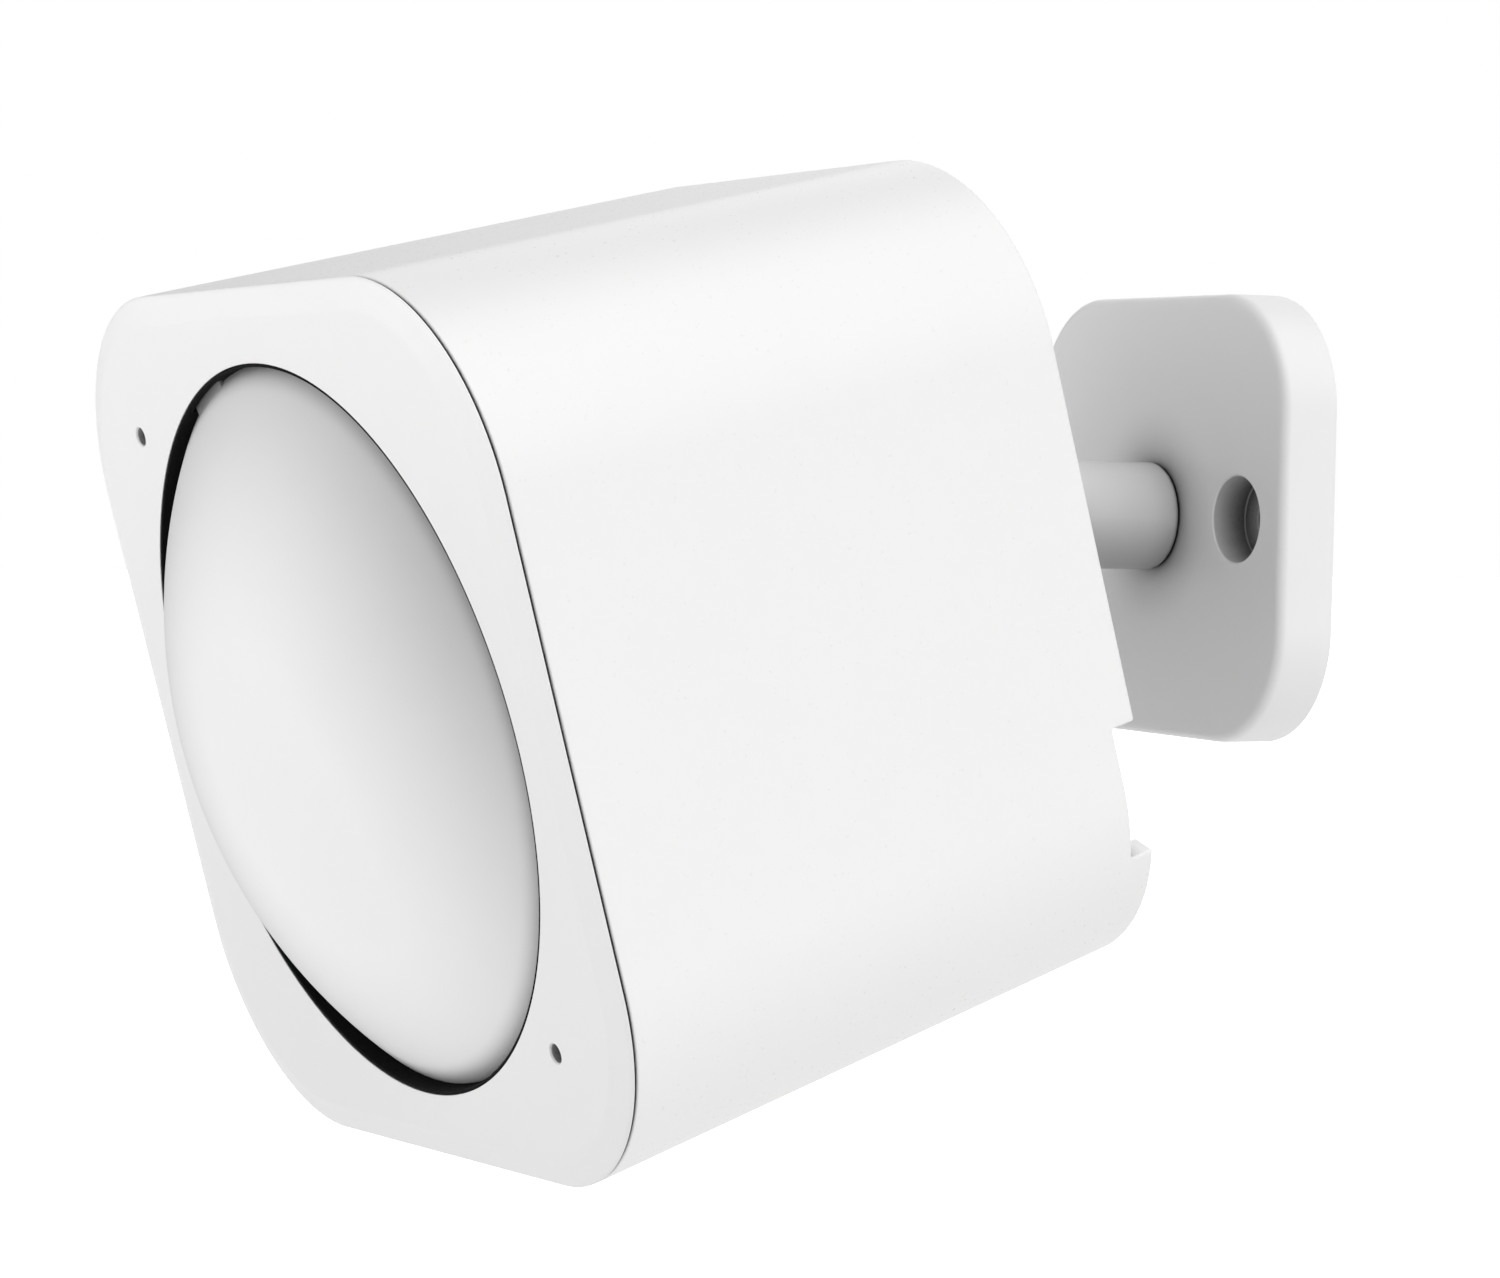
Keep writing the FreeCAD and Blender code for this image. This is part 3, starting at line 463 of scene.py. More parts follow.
class Shape:
    """Vertices in mm and faces; each method adds a solid and returns the shape."""

    def __init__(self):
        self.vertices = []
        self.faces = []

    def loft(self, rings, closed=False, start_cap=False, end_cap=False, skip=()):
        """Joins rings of equal length; skip holds (ring, point) faces to leave out."""
        starts = []
        for ring in rings:
            starts.append(len(self.vertices))
            self.vertices += ring
        count = len(rings[0])
        for j in range(len(rings) if closed else len(rings) - 1):
            a, b = starts[j], starts[(j + 1) % len(rings)]
            for i in range(count):
                k = (i + 1) % count
                if (j, i) not in skip:
                    self.faces.append((a + i, a + k, b + k, b + i))
        if start_cap:
            self.faces.append(tuple(starts[0] + i for i in range(count))[::-1])
        if end_cap:
            self.faces.append(tuple(starts[-1] + i for i in range(count)))
        return self

    def solid(self, rings):
        return self.loft(rings, start_cap=True, end_cap=True)

    def lathe(self, profile, segments=96, at=(0, 0)):
        """Spins a closed profile of (radius, z); radius 0 makes a pole."""
        starts = []
        for radius, z in profile:
            pole = radius <= 1e-9
            starts.append((len(self.vertices), pole))
            self.vertices += [(*at, z)] if pole else circle(radius, segments, z, at)
        for j, (a, a_pole) in enumerate(starts):
            b, b_pole = starts[(j + 1) % len(starts)]
            if a_pole and b_pole:
                continue
            for i in range(segments):
                k = (i + 1) % segments
                if a_pole:
                    self.faces.append((a, b + k, b + i))
                elif b_pole:
                    self.faces.append((a + i, a + k, b))
                else:
                    self.faces.append((a + i, a + k, b + k, b + i))
        return self

    def box(self, size, at, spin=0.0):
        """at is the centre x, y and the low face z; spin is in degrees about z."""
        c, s = cos(radians(spin)), sin(radians(spin))
        x, y, z = at
        start = len(self.vertices)
        for dz in (0, size[2]):
            for side_x, side_y in ((-1, -1), (1, -1), (1, 1), (-1, 1)):
                dx, dy = side_x * size[0] / 2, side_y * size[1] / 2
                self.vertices.append((x + dx * c - dy * s, y + dx * s + dy * c, z + dz))
        for quad in ((3, 2, 1, 0), (4, 5, 6, 7), (0, 1, 5, 4),
                     (1, 2, 6, 5), (2, 3, 7, 6), (3, 0, 4, 7)):
            self.faces.append(tuple(start + i for i in quad))
        return self

    def prism(self, outline, z0, z1, at=(0, 0)):
        return self.solid([level(outline, z0, at), level(outline, z1, at)])

    def tube(self, outer, inner, z0, z1, at=(0, 0), segments=48):
        return self.lathe([(outer, z0), (outer, z1), (inner, z1), (inner, z0)], segments, at)

    def cylinder(self, radius, z0, z1, at=(0, 0), segments=48):
        return self.lathe([(0, z0), (radius, z0), (radius, z1), (0, z1)], segments, at)


# ------------------------------------------------------------------ objects
def smooth_shade(mesh, sharp):
    mesh.polygons.foreach_set("use_smooth", [True] * len(mesh.polygons))
    mesh.set_sharp_from_angle(angle=radians(sharp))


def to_world(point, place):
    return place @ Vector([value * MM for value in point])


def build(name, shape, place, sharp=32):
    mesh = bpy.data.meshes.new(name)
    mesh.from_pydata([tuple(to_world(v, place)) for v in shape.vertices], [], shape.faces)
    mesh.validate(verbose=False)
    work = bmesh.new()
    work.from_mesh(mesh)
    bmesh.ops.recalc_face_normals(work, faces=work.faces)
    work.to_mesh(mesh)
    work.free()
    smooth_shade(mesh, sharp)
    made = bpy.data.objects.new(name, mesh)
    bpy.context.scene.collection.objects.link(made)
    return made


def evaluated_mesh(source):
    bpy.context.view_layer.update()
    graph = bpy.context.evaluated_depsgraph_get()
    return bpy.data.meshes.new_from_object(source.evaluated_get(graph))


def carve(target, cutters, sharp):
    """Subtracts cutter objects, bakes the result and removes the cutters."""
    for cutter in cutters:
        cut = target.modifiers.new("cut", "BOOLEAN")
        cut.operation = "DIFFERENCE"
        cut.solver = "EXACT"
        cut.object = cutter
    mesh = evaluated_mesh(target)
    target.modifiers.clear()
    old = target.data
    target.data = mesh
    bpy.data.meshes.remove(old)
    for cutter in cutters:
        old = cutter.data
        bpy.data.objects.remove(cutter)
        bpy.data.meshes.remove(old)
    mesh.name = target.name
    smooth_shade(mesh, sharp)


def add_bevel(target, width, segments):
    bevel = target.modifiers.new("edge", "BEVEL")
    bevel.width = width * MM
    bevel.segments = segments
    bevel.limit_method = "ANGLE"
    bevel.angle_limit = radians(32)
    bevel.harden_normals = False
    bevel.use_clamp_overlap = True
    bevel.miter_outer = "MITER_ARC"


def add_weighted_normals(target):
    """Face-area weighted normals keep big flats flat."""
    weighted = target.modifiers.new("weighted", "WEIGHTED_NORMAL")
    weighted.keep_sharp = True
    weighted.weight = 60
    weighted.mode = "FACE_AREA_WITH_ANGLE"


def register(made, node, material=None):
    """Gives a piece its material and ties it to its CAD node."""
    slot = SLOT[node]
    made.data.materials.clear()
    made.data.materials.append(MATERIAL[material or slot])
    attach(made, NODE_BODY[node])
    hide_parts(node)


def piece(node, shape, place=HEAD, bevel=0.0, segments=2, material=None, sharp=32,
          cuts=None, name=None):
    """Builds one finished object; bevel in mm, sharp in degrees, cuts are shapes to subtract."""
    made = build(name or node + "_look", shape, place, sharp)
    if cuts:
        cutters = [build("%s_cut%d" % (node, i), cut, place) for i, cut in enumerate(cuts)]
        carve(made, cutters, sharp)
    if bevel:
        add_bevel(made, bevel, segments)
        smooth_shade(made.data, 180)
    add_weighted_normals(made)
    register(made, node, material)


def screws(node, spots, seat, length, head_radius, radius=0.95, head_height=1.1, tip=1,
           place=HEAD):
    """Pan head screws with thread rings and a cross recess, joined as one object.

    seat is the z under the head; tip is 1 or -1, the way the tip points along z.
    """
    sharp = 35
    root = radius * 0.84
    pitch = radius * 0.42
    top = seat - tip * head_height
    # share of the head radius, share of the head height
    head = [(0, 1), (0.55, 1), (0.82, 0.86), (0.97, 0.5), (1, 0.12), (0.96, 0)]
    profile = [(head_radius * r, seat - tip * head_height * h) for r, h in head]
    profile.append((root, seat))
    for i in range(int(length / pitch) - 1):
        for ring_radius, step in ((root, 0.25), (radius, 0.55), (root, 0.85)):
            profile.append((ring_radius, seat + tip * (i + step) * pitch))
    profile += [(radius * 0.6, seat + tip * length * 0.99), (0, seat + tip * length)]
    recess = head_height * 0.6
    recess_low = top - 0.4 if tip > 0 else top - recess
    recess_size = (head_radius * 1.15, head_radius * 0.24, recess + 0.4)
    parts = []
    for spot in spots:
        part = build(node + "_tmp", Shape().lathe(profile, 40, spot), place, sharp)
        cutters = [build("recess", Shape().box(recess_size, (*spot, recess_low), spin), place)
                   for spin in (0, 90)]
        carve(part, cutters, sharp)
        parts.append(part)
    first = parts[0]
    work = bmesh.new()
    for part in parts:
        work.from_mesh(part.data)
    work.to_mesh(first.data)
    work.free()
    for part in parts[1:]:
        bpy.data.objects.remove(part)
    first.name = node + "_look"
    smooth_shade(first.data, sharp)
    register(first, node)


# ------------------------------------------------------------------ sleeve, bezel, dome
def outer_sleeve():
    """Tapered square tube with a notch in its rear edge, by the +x -y corner."""
    rear, front = FACE - 50.3, FACE - 1.0
    notch_end = rear + 2.2
    stations = [  # inset, z
        (0, rear), (0, notch_end), (0, 19.0), (0, 26.0), (0, 34.0), (0, 42.0), (0, 50.0),
        (0, 57.0), (0, 62.0), (0, front), (2.2, front), (2.3, FACE - 5.1), (2.85, FACE - 5.1),
        (2.85, 44.0), (2.8, 30.0), (2.8, FACE - 45.5), (2.2, FACE - 45.5), (2.2, notch_end),
        (2.2, rear),
    ]
    rings = []
    for inset, z in stations:
        t = (z - rear) / (front - rear)
        half = REAR_HALF + (FRONT_HALF - REAR_HALF) * t - inset
        corner = REAR_CORNER + (FRONT_CORNER - REAR_CORNER) * t - inset
        rings.append(level(rounded_rect(half, half, corner), z))
    count, last = len(rings[0]), len(rings) - 1
    columns = [*range(count - 10, count), 0, 1, 2]
    skip = {(j, i) for j in (0, last - 1, last) for i in columns[:-1]}
    shape = Shape().loft(rings, closed=True, skip=skip)
    outer_rim, outer_floor, inner_floor, inner_rim = (
        j * count for j in (0, 1, last - 1, last))
    for a, b in zip(columns, columns[1:]):
        shape.faces.append((outer_floor + a, outer_floor + b, inner_floor + b, inner_floor + a))
    for c in (columns[0], columns[-1]):
        shape.faces.append((outer_rim + c, outer_floor + c, inner_floor + c, inner_rim + c))
    piece("outer_sleeve", shape, bevel=0.22, segments=3)


def front_bezel():
    """Square face plate with a round mouth, pierced at two corners."""
    style = dict(arc_steps=34, side=FINE_SIDE)
    outline = rounded_rect(FRONT_HALF, FRONT_HALF, FRONT_CORNER, **style)
    angles = [atan2(y, x) for x, y in outline]
    mouth = [  # radius, depth, centre y
        (30.2, 2.55, 0), (30.2, 0.7, 0), (MOUTH + 0.05, 0.7, MOUTH_Y), (MOUTH, 0.65, MOUTH_Y),
        (MOUTH, 0.08, MOUTH_Y), (MOUTH + 0.025, 0.02, MOUTH_Y), (MOUTH + 0.09, 0, MOUTH_Y),
        (30.3, 0, MOUTH_Y),
    ]
    rim = [  # inset, depth
        (2.9, 0.0), (2.36, 0.0), (2.24, 0.012), (2.1, 0.045), (1.96, 0.085), (1.2, 0.295),
        (0.42, 0.51), (0.2, 0.575), (0.06, 0.65), (0.0, 0.74), (0.0, 0.78), (0.1, 0.84),
        (2.6, 0.84), (2.6, 5.0), (3.95, 5.0), (3.95, 2.55),
    ]
    rings = [[(radius * cos(a), y + radius * sin(a), FACE - depth) for a in angles]
             for radius, depth, y in mouth]
    rings += inset_rings(FRONT_HALF, FRONT_HALF, FRONT_CORNER, from_face(rim), **style)
    hole = from_face([(0, 7), (0.74, 7), (0.74, 0.12), (0.86, 0.0), (1.0, -0.5), (0, -0.5)])
    cuts = [Shape().lathe(hole, 48, spot) for spot in PIN_CORNERS[::-1]]
    piece("front_bezel", Shape().loft(rings, closed=True), cuts=cuts, sharp=40)

    posts = Shape()
    for spot in LUGS:
        posts.tube(2.2, PILOT, SHROUD_FRONT, BEZEL_BACK, spot, 40)
    for screw, pin in zip(SCREW_CORNERS, PIN_CORNERS):
        posts.tube(2.6, 1.22, FACE - 14.0, BEZEL_BACK, screw)
        posts.tube(2.8, 2.25, FACE - 6.0, BEZEL_BACK, pin)
    piece("front_bezel", posts, bevel=0.12, name="front_bezel_posts")


def dome_lens():
    """Thin spherical cap with a flange, and a small key on its edge."""
    radius, centre = 44.75, FACE - 35.6
    inner = radius - 1.2
    edge, inner_edge = 29.0, 27.8
    profile = arc(radius, 0, asin(edge / radius), 48, centre)
    profile += from_face([(edge, 2.6), (30.4, 2.6), (30.4, 3.6), (inner_edge, 3.6)])
    profile += arc(inner, asin(inner_edge / inner), 0, 24, centre)
    piece("dome_lens", Shape().lathe(profile, 200), bevel=0.12)
    key = Shape().box((1.8, 6.0, 0.5), (*polar(28.2, KEY_ANGLE), FACE - 1.35), KEY_ANGLE)
    piece("dome_lens", key, bevel=0.15, segments=3, name="dome_key", material="dome_key")


def lens_gasket():
    inner = MOUTH - 0.3
    in_mouth = [
        (inner, 1.42), (inner, 0.14), (inner + 0.06, 0.07),
        (MOUTH - 0.1, 0.05), (MOUTH - 0.03, 0.1), (MOUTH - 0.03, 0.75),
    ]
    behind = [(30.1, 0.75), (30.1, 2.55), (29.06, 2.55), (29.06, 1.66)]
    rings = [circle(radius, 240, z, (0, MOUTH_Y)) for radius, z in from_face(in_mouth)]
    rings += [circle(radius, 240, z) for radius, z in from_face(behind)]
    slot = Shape().box((2.2, 6.4, 1.0), (*polar(28.3, KEY_ANGLE), FACE - 1.6), KEY_ANGLE)
    piece("lens_gasket", Shape().loft(rings, closed=True), cuts=[slot])


# ------------------------------------------------------------------ wall mount
def wall_plate():
    """Rounded plate with two side screw holes and a stepped centre hole."""
    top, edge = 4.4, 0.8
    stations = [(0.25, 0.0), (0.07, 0.07), (0.0, 0.25), (0.0, 2.0), (0.0, top)]
    for i in range(1, 7):
        angle = radians(15 * i)
        stations.append((edge * (1 - cos(angle)), top + edge * sin(angle)))
    stations.append((1.4, 5.2))
    shape = Shape().solid(inset_rings(20.15, 18.65, 9.8, stations))
    side_hole = [
        (0, -1), (1.7, -1), (1.7, 1.9), (1.8, 2.0), (3.5, 2.0), (3.6, 2.1), (3.6, 5.08),
        (3.72, 5.2), (3.9, 5.5), (0, 5.5),
    ]
    centre_hole = [
        (0, -1), (3.35, -1), (3.2, 0.12), (3.2, 1.9), (1.6, 1.9), (1.6, 2.9), (3.05, 2.9),
        (3.05, 6), (0, 6),
    ]
    cuts = [Shape().lathe(side_hole, 72, (x, 0)) for x in (13.2, -13.2)]
    cuts.append(Shape().lathe(centre_hole, 72))
    piece("wall_plate", shape, WALL, cuts=cuts, sharp=28)


def ball_stud():
    ball, ball_z, neck = 5.5, 19.07, 3.4
    profile = [
        (0, 3.02), (2.8, 3.02), (3.0, 3.2), (3.0, 5.2), (3.9, 5.2), (4.12, 5.23), (4.32, 5.32),
        (4.46, 5.48), (4.53, 5.66), (4.55, 5.85), (4.55, 6.4), (4.55, 14.45), (4.52, 14.54),
        (4.43, 14.6), (3.9, 14.72), (3.5, 14.84),
    ]
    profile += arc(ball, pi - asin(neck / ball), 0, 32, ball_z)
    piece("ball_stud", Shape().lathe(profile, 112), WALL, sharp=40)
    screws("stud_screw", [(0, 0)], seat=1.85, radius=1.25, length=9.0, head_radius=3.0,
           head_height=1.5, place=WALL)


# ------------------------------------------------------------------ ball joint, head side
def friction_liner():
    profile = arc(6.5, radians(12.5), radians(61.2), 12)
    profile += arc(5.55, radians(56.0), radians(14.6), 12)
    piece("friction_liner", Shape().lathe(profile, 80))


def swivel_stalk():
    """Stalk with six thread rings, a flange at its front and a hollow for the ball."""
    thread, root, pitch = 8.0, 7.72, 1.0
    profile = [(thread, -0.45), (thread, 0.2)]
    for i in range(6):
        for radius, z in ((thread, 0.35), (root, 0.6), (root, 0.85), (thread, 1.1)):
            profile.append((radius, z + i * pitch))
    profile += [
        (8.0, 6.5), (7.75, 6.95), (5.7, 9.6), (5.32, 10.3), (5.2, 11.2), (5.2, 19.26),
        (7.1, 19.26), (7.2, 19.36), (7.2, 21.16), (7.1, 21.26), (0, 21.26),
    ]
    profile += arc(6.55, 0, pi / 2, 18)
    profile += [(6.55, -0.5), (6.65, -0.6), (7.85, -0.6)]
    piece("swivel_stalk", Shape().lathe(profile), sharp=38)


def fluted_ring(radius, z, depth, flutes=18, steps=12):
    """Circle with a hollow of the given depth in the middle of each flute pitch."""
    ring = []
    for i in range(flutes * steps):
        angle = 2 * pi * i / (flutes * steps)
        offset = (i % steps) / steps - 0.5
        hollow = max(0.0, cos(offset * 2 * pi * 1.35)) ** 1.5 if abs(offset) < 0.19 else 0.0
        reach = radius - depth * hollow
        ring.append((reach * cos(angle), reach * sin(angle), z))
    return ring


def clamp_nut():
    """Nut with eighteen grip flutes and a seat for the ball."""
    seat = 5.55
    stations = [  # radius, z, flute depth
        (8.08, 5.38, 0), (8.35, 5.5, 0), (9.2, 5.5, 0), (9.5, 5.36, 0.25), (9.6, 5.1, 0.45),
        (9.6, 4.6, 0.5), (9.6, 0.4, 0.5), (9.6, -0.3, 0.4), (9.57, -0.75, 0.1),
        (9.4, -1.02, 0), (7.2, -1.93, 0), (6.95, -2.0, 0), (5.35, -2.0, 0), (5.22, -1.93, 0),
    ]
    for i in range(7):
        z = -1.85 + 1.2 * i / 6
        stations.append((sqrt(seat ** 2 - z * z), z, 0))
    stations.append((8.05, -0.62, 0))
    rings = [fluted_ring(*station) for station in stations]
    piece("clamp_nut", Shape().loft(rings, closed=True), sharp=38)


def swivel_retainer():
    spots = [polar(9.3, angle) for angle in (45, 135, 225, 315)]
    shape = Shape().tube(11.2, 4.0, RETAINER_BACK, RETAINER_FRONT, segments=96)
    cuts = [Shape().cylinder(CLEARANCE, 20, 24, spot, 32) for spot in spots]
    piece("swivel_retainer", shape, bevel=0.15, cuts=cuts)
    screws("retainer_screws", spots, seat=RETAINER_FRONT, length=4.4, head_radius=1.65, tip=-1)


# ------------------------------------------------------------------ rear cover
def rear_cover():
    """Rear plate with its openings, and the posts on its front side."""
    back, front = COVER_BACK, COVER_FRONT
    low, high = 15, 22          # cutters run from below to above the plate
    stations = [(0.35, back), (0.1, back + 0.1), (0.0, back + 0.35), (0.0, front - 0.2),
                (0.2, front)]

    def round_hole(profile, segments, at=(0, 0)):
        """profile is (radius, height above the back face) from wide to narrow."""
        widest, narrowest = profile[0][0], profile[-1][0]
        ends = [(narrowest, high), (0, high)]
        return Shape().lathe([(0, low), (widest, low), *raised(profile[1:], back), *ends],
                             segments, at)

    slot = rounded_rect(2.0, 4.9, 1.9, 12, COARSE_SIDE)
    knob_slot = rounded_rect(1.95, 0.85, 0.3, 6, COARSE_SIDE)
    cuts = [
        round_hole([(5.6, None), (5.45, 0.15), (5.25, 0.35)], 80),
        Shape().box((36.4, 16.8, 6), (0, BAY_Y, low)),
        Shape().box((38.4, 18.0, back + 0.9 - low), (0, BAY_Y, low)),
        Shape().prism(slot, low, high, SOCKET),
        round_hole([(3.4, None), (3.25, 0), (3.08, 0.17)], 56, BUTTON),
        Shape().prism(knob_slot, low, high, SWITCH),
    ]
    for spot in SCREW_CORNERS:
        cuts.append(round_hole([(2.85, None), (2.68, 0), (2.5, 0.18)], 48, spot))
    piece("rear_cover", Shape().solid(inset_rings(30.2, 30.2, 13.1, stations)),
          cuts=cuts, sharp=24)

    foot, case_seat = front - 0.02, 46.6
    column = [(3.1, foot), (3.1, 50.6), (1.3, 50.6), (1.3, case_seat), (2.5, case_seat),
              (2.5, foot)]
    posts = Shape().tube(11.2, 7.26, front, 21.3, segments=96)
    for spot in SCREW_CORNERS:
        posts.lathe(column, 48, spot)
    for spot in BOARD_POSTS:
        posts.tube(2.0, PILOT, foot, BOARD_BACK, spot, 36)
    for spot in TRAY_POSTS:
        posts.tube(2.2, PILOT, foot, 21.2, spot, 36)
    piece("rear_cover", posts, bevel=0.12, name="rear_cover_posts")
    screws("case_screws", SCREW_CORNERS, seat=case_seat, radius=1.2, length=12.6,
           head_radius=2.3, head_height=1.6)


def battery_door():
    """Door with three finger grooves, and a raised rib on its front side."""
    at = (0, BAY_Y)
    rings = []
    for inset, height in ((0.25, 0), (0.07, 0.07), (0.0, 0.25), (0.0, 0.82)):
        outline = rounded_rect(19.1 - inset, 8.9 - inset, 0.9 - inset * 0.5, 8, COARSE_SIDE)
        rings.append(level(outline, COVER_BACK + height, at))
    bar = [(0, -6.0), (0.32, -5.7), (0.36, -5.4), (0.36, 5.4), (0.32, 5.7), (0, 6.0)]
    grooves = []
    for y in (-13.8, -15.3, -16.8):
        groove = Shape().lathe(bar, 20)
        # lay the bar along x
        groove.vertices = [(z, y + side, COVER_BACK + 0.02 + rise)
                           for side, rise, z in groove.vertices]
        grooves.append(groove)
    piece("battery_door", Shape().solid(rings), cuts=grooves, bevel=0.05)

    wide = rounded_rect(18.1, 8.3, 0.6, 6, COARSE_SIDE)
    narrow = rounded_rect(16.5, 6.7, 0.5, 6, COARSE_SIDE)
    rib = [level(outline, COVER_BACK + height, at)
           for outline, height in ((wide, 0.80), (wide, 1.9), (narrow, 1.9), (narrow, 1.1))]
    piece("battery_door", Shape().solid(rib), bevel=0.1, name="battery_door_rib")


def pair_button():
    profile = [(0, COVER_BACK - 0.42)]
    for i in range(1, 7):
        t = i / 6
        profile.append((2.55 * t, COVER_BACK - 0.42 - 0.12 * t * t))
    profile += [
        (2.85, COVER_BACK - 0.5), (3.0, COVER_BACK - 0.3), (3.0, 19.3), (3.95, 19.3),
        (4.0, 19.4), (4.0, 20.2), (3.95, 20.3), (3.0, 20.3), (3.0, 20.85), (0, 20.85),
    ]
    piece("pair_button", Shape().lathe(profile, 72, BUTTON), sharp=35)


def switches():
    """Knob of the slide switch, then the push and slide switch bodies."""
    knob_x, y = SWITCH[0] - 1.0, SWITCH[1]
    knob = Shape().box((1.7, 1.5, 5.6), (knob_x, y, 17.0))
    grooves = [Shape().box((0.25, 2.0, 0.5), (knob_x + dx, y, 16.8)) for dx in (-0.45, 0, 0.45)]
    piece("switch_knob", knob, cuts=grooves, bevel=0.08)
    piece("tact_switch", Shape().box((6.2, 6.2, 3.4), (*BUTTON, SWITCH_BACK)),
          cuts=[Shape().cylinder(1.75, 20.3, 23.3, BUTTON, 40)], bevel=0.15)
    plunger = [(0, 20.9), (1.4, 20.9), (1.7, 21.05), (1.7, 22.6), (0, 22.6)]
    piece("tact_plunger", Shape().lathe(plunger, 48, BUTTON), sharp=30)
    piece("slide_switch", Shape().box((9.0, 4.0, 3.4), (*SWITCH, SWITCH_BACK)),
          cuts=[Shape().box((3.9, 1.7, 2), (*SWITCH, 20.8))], bevel=0.15)


def usb_socket():
    """Socket shell, its tongue and ten contacts on each side of the tongue."""
    x, y = SOCKET
    mouth_z = 18.0
    outer = rounded_rect(1.6, 4.5, 1.55, 14, COARSE_SIDE)
    inner = rounded_rect(1.3, 4.2, 1.25, 14, COARSE_SIDE)
    mouth = level(outer, mouth_z, SOCKET)
    shell = Shape().loft([mouth, level(outer, 25.0, SOCKET)], end_cap=True)
    shell.loft([mouth, level(inner, mouth_z, SOCKET), level(inner, 24.2, SOCKET)], end_cap=True)
    piece("usb_socket", shell, sharp=35)
    piece("usb_socket", Shape().box((0.7, 6.7, 5.8), (x, y, 18.6)), bevel=0.12,
          material="black_plastic", name="usb_tongue")
    contacts = Shape()
    for i in range(10):
        for side in (-1, 1):
            contacts.box((0.03, 0.32, 3.6), (x + side * 0.355, y + (i - 4.5) * 0.62, 19.0))
    piece("usb_socket", contacts, material="can_steel", name="usb_contacts")


# ------------------------------------------------------------------ battery bay
# Cell frame: origin at the bay centre, z along head x.
CELL = (HEAD @ Matrix.Translation(Vector((0, BAY_Y * MM, 27.85 * MM)))
        @ Matrix.Rotation(radians(90), 4, "Y"))


def battery_tray():
    tray = Shape().box((38.2, 18.2, 37.4 - COVER_FRONT), (0, BAY_Y, COVER_FRONT))
    hollow = Shape().box((36.6, 16.8, 36.3 - 19.0), (0, BAY_Y, 19.0))
    piece("battery_tray", tray, cuts=[hollow], bevel=0.25, segments=3)
    ears = Shape()
    ear_front = 22.75
    for spot in TRAY_POSTS:
        ears.tube(2.2, CLEARANCE, 21.25, ear_front, spot, 40)
    piece("battery_tray", ears, bevel=0.1, name="battery_tray_ears")
    screws("tray_screws", TRAY_POSTS, seat=ear_front, length=4.3, head_radius=1.65, tip=-1)


def battery_cell():
    wrap = [
        (7.2, -15.6), (8.0, -15.6), (8.2, -15.35), (8.2, 16.05), (8.0, 16.35), (7.3, 16.4),
        (7.3, 16.15), (7.1, 16.0), (7.1, -15.3),
    ]
    negative = [(0, -15.85), (6.9, -15.85), (7.25, -15.6), (7.25, -14.5), (0, -14.5)]
    positive = [
        (0, 15.5), (7.15, 15.5), (7.15, 16.2), (3.2, 16.3), (2.8, 16.5), (2.8, 17.5),
        (2.6, 17.7), (0, 17.7),
    ]
    piece("battery_cell", Shape().lathe(wrap), CELL, sharp=35)
    for name, cap in (("cell_negative_cap", negative), ("cell_positive_cap", positive)):
        piece("battery_cell", Shape().lathe(cap), CELL, material="spring_nickel", name=name,
              sharp=35)


def battery_contacts():
    plates = Shape()
    for x in (-18.05, 17.95):
        plates.box((0.4, 10, 10), (x, BAY_Y, 22.85))
    piece("battery_contacts", plates, bevel=0.1)


def battery_spring():
    """Conical spring, a real wire."""
    turns, steps = 3.2, 170
    wide, narrow_by = 4.2, 1.7
    foot, height = -17.6, 1.55
    wire = bpy.data.curves.new("battery_spring_wire", "CURVE")
    wire.dimensions = "3D"
    wire.bevel_depth = 0.22 * MM
    wire.bevel_resolution = 4
    wire.use_fill_caps = True
    spline = wire.splines.new("POLY")
    spline.points.add(steps)
    for i, point in enumerate(spline.points):
        t = i / steps
        angle = 2 * pi * turns * t
        radius = wide - narrow_by * t
        local = (radius * cos(angle), radius * sin(angle), foot + height * t)
        point.co = (*to_world(local, CELL), 1)
    carrier = bpy.data.objects.new("tmp_spring", wire)
    bpy.context.scene.collection.objects.link(carrier)
    mesh = evaluated_mesh(carrier)
    bpy.data.objects.remove(carrier)
    spring = bpy.data.objects.new("battery_spring_look", mesh)
    bpy.context.scene.collection.objects.link(spring)
    mesh.polygons.foreach_set("use_smooth", [True] * len(mesh.polygons))
    register(spring, "battery_spring")


# ------------------------------------------------------------------ shroud and sensors
def light_shroud():
    """Cone behind the dome, with lugs at its rim and posts for the sensor board."""
    cone = from_face([
        (26.5, 5.15), (30.4, 5.15), (30.4, 3.65), (26.6, 3.65), (26.3, 5.0), (6.4, 20.55),
        (4.9, 20.55), (4.9, 21.95), (8.6, 21.95), (8.6, 20.8), (27.6, 6.4),
    ])
    piece("light_shroud", Shape().lathe(cone, 128), sharp=30)
    posts = Shape()
    for spot in LUGS:
        posts.tube(2.4, CLEARANCE, SHROUD_BACK, SHROUD_FRONT, spot, 36)
    for spot in SENSOR_POSTS:
        posts.tube(2.2, PILOT, SENSOR_FRONT, FACE - 13.4, spot, 36)
    piece("light_shroud", posts, bevel=0.12, name="light_shroud_posts")
    screws("shroud_screws", LUGS, seat=SHROUD_BACK, length=3.7, head_radius=1.8)


def sensor_board():
    board = Shape().prism(rounded_rect(17, 17, 2, 10, COARSE_SIDE), SENSOR_BACK, SENSOR_FRONT)
    holes = [Shape().cylinder(CLEARANCE, FACE - 26, FACE - 22, spot, 32)
             for spot in SENSOR_POSTS]
    piece("sensor_board", board, cuts=holes, bevel=0.08)
    screws("sensor_screws", SENSOR_POSTS, seat=SENSOR_BACK, length=6.2, head_radius=1.8)


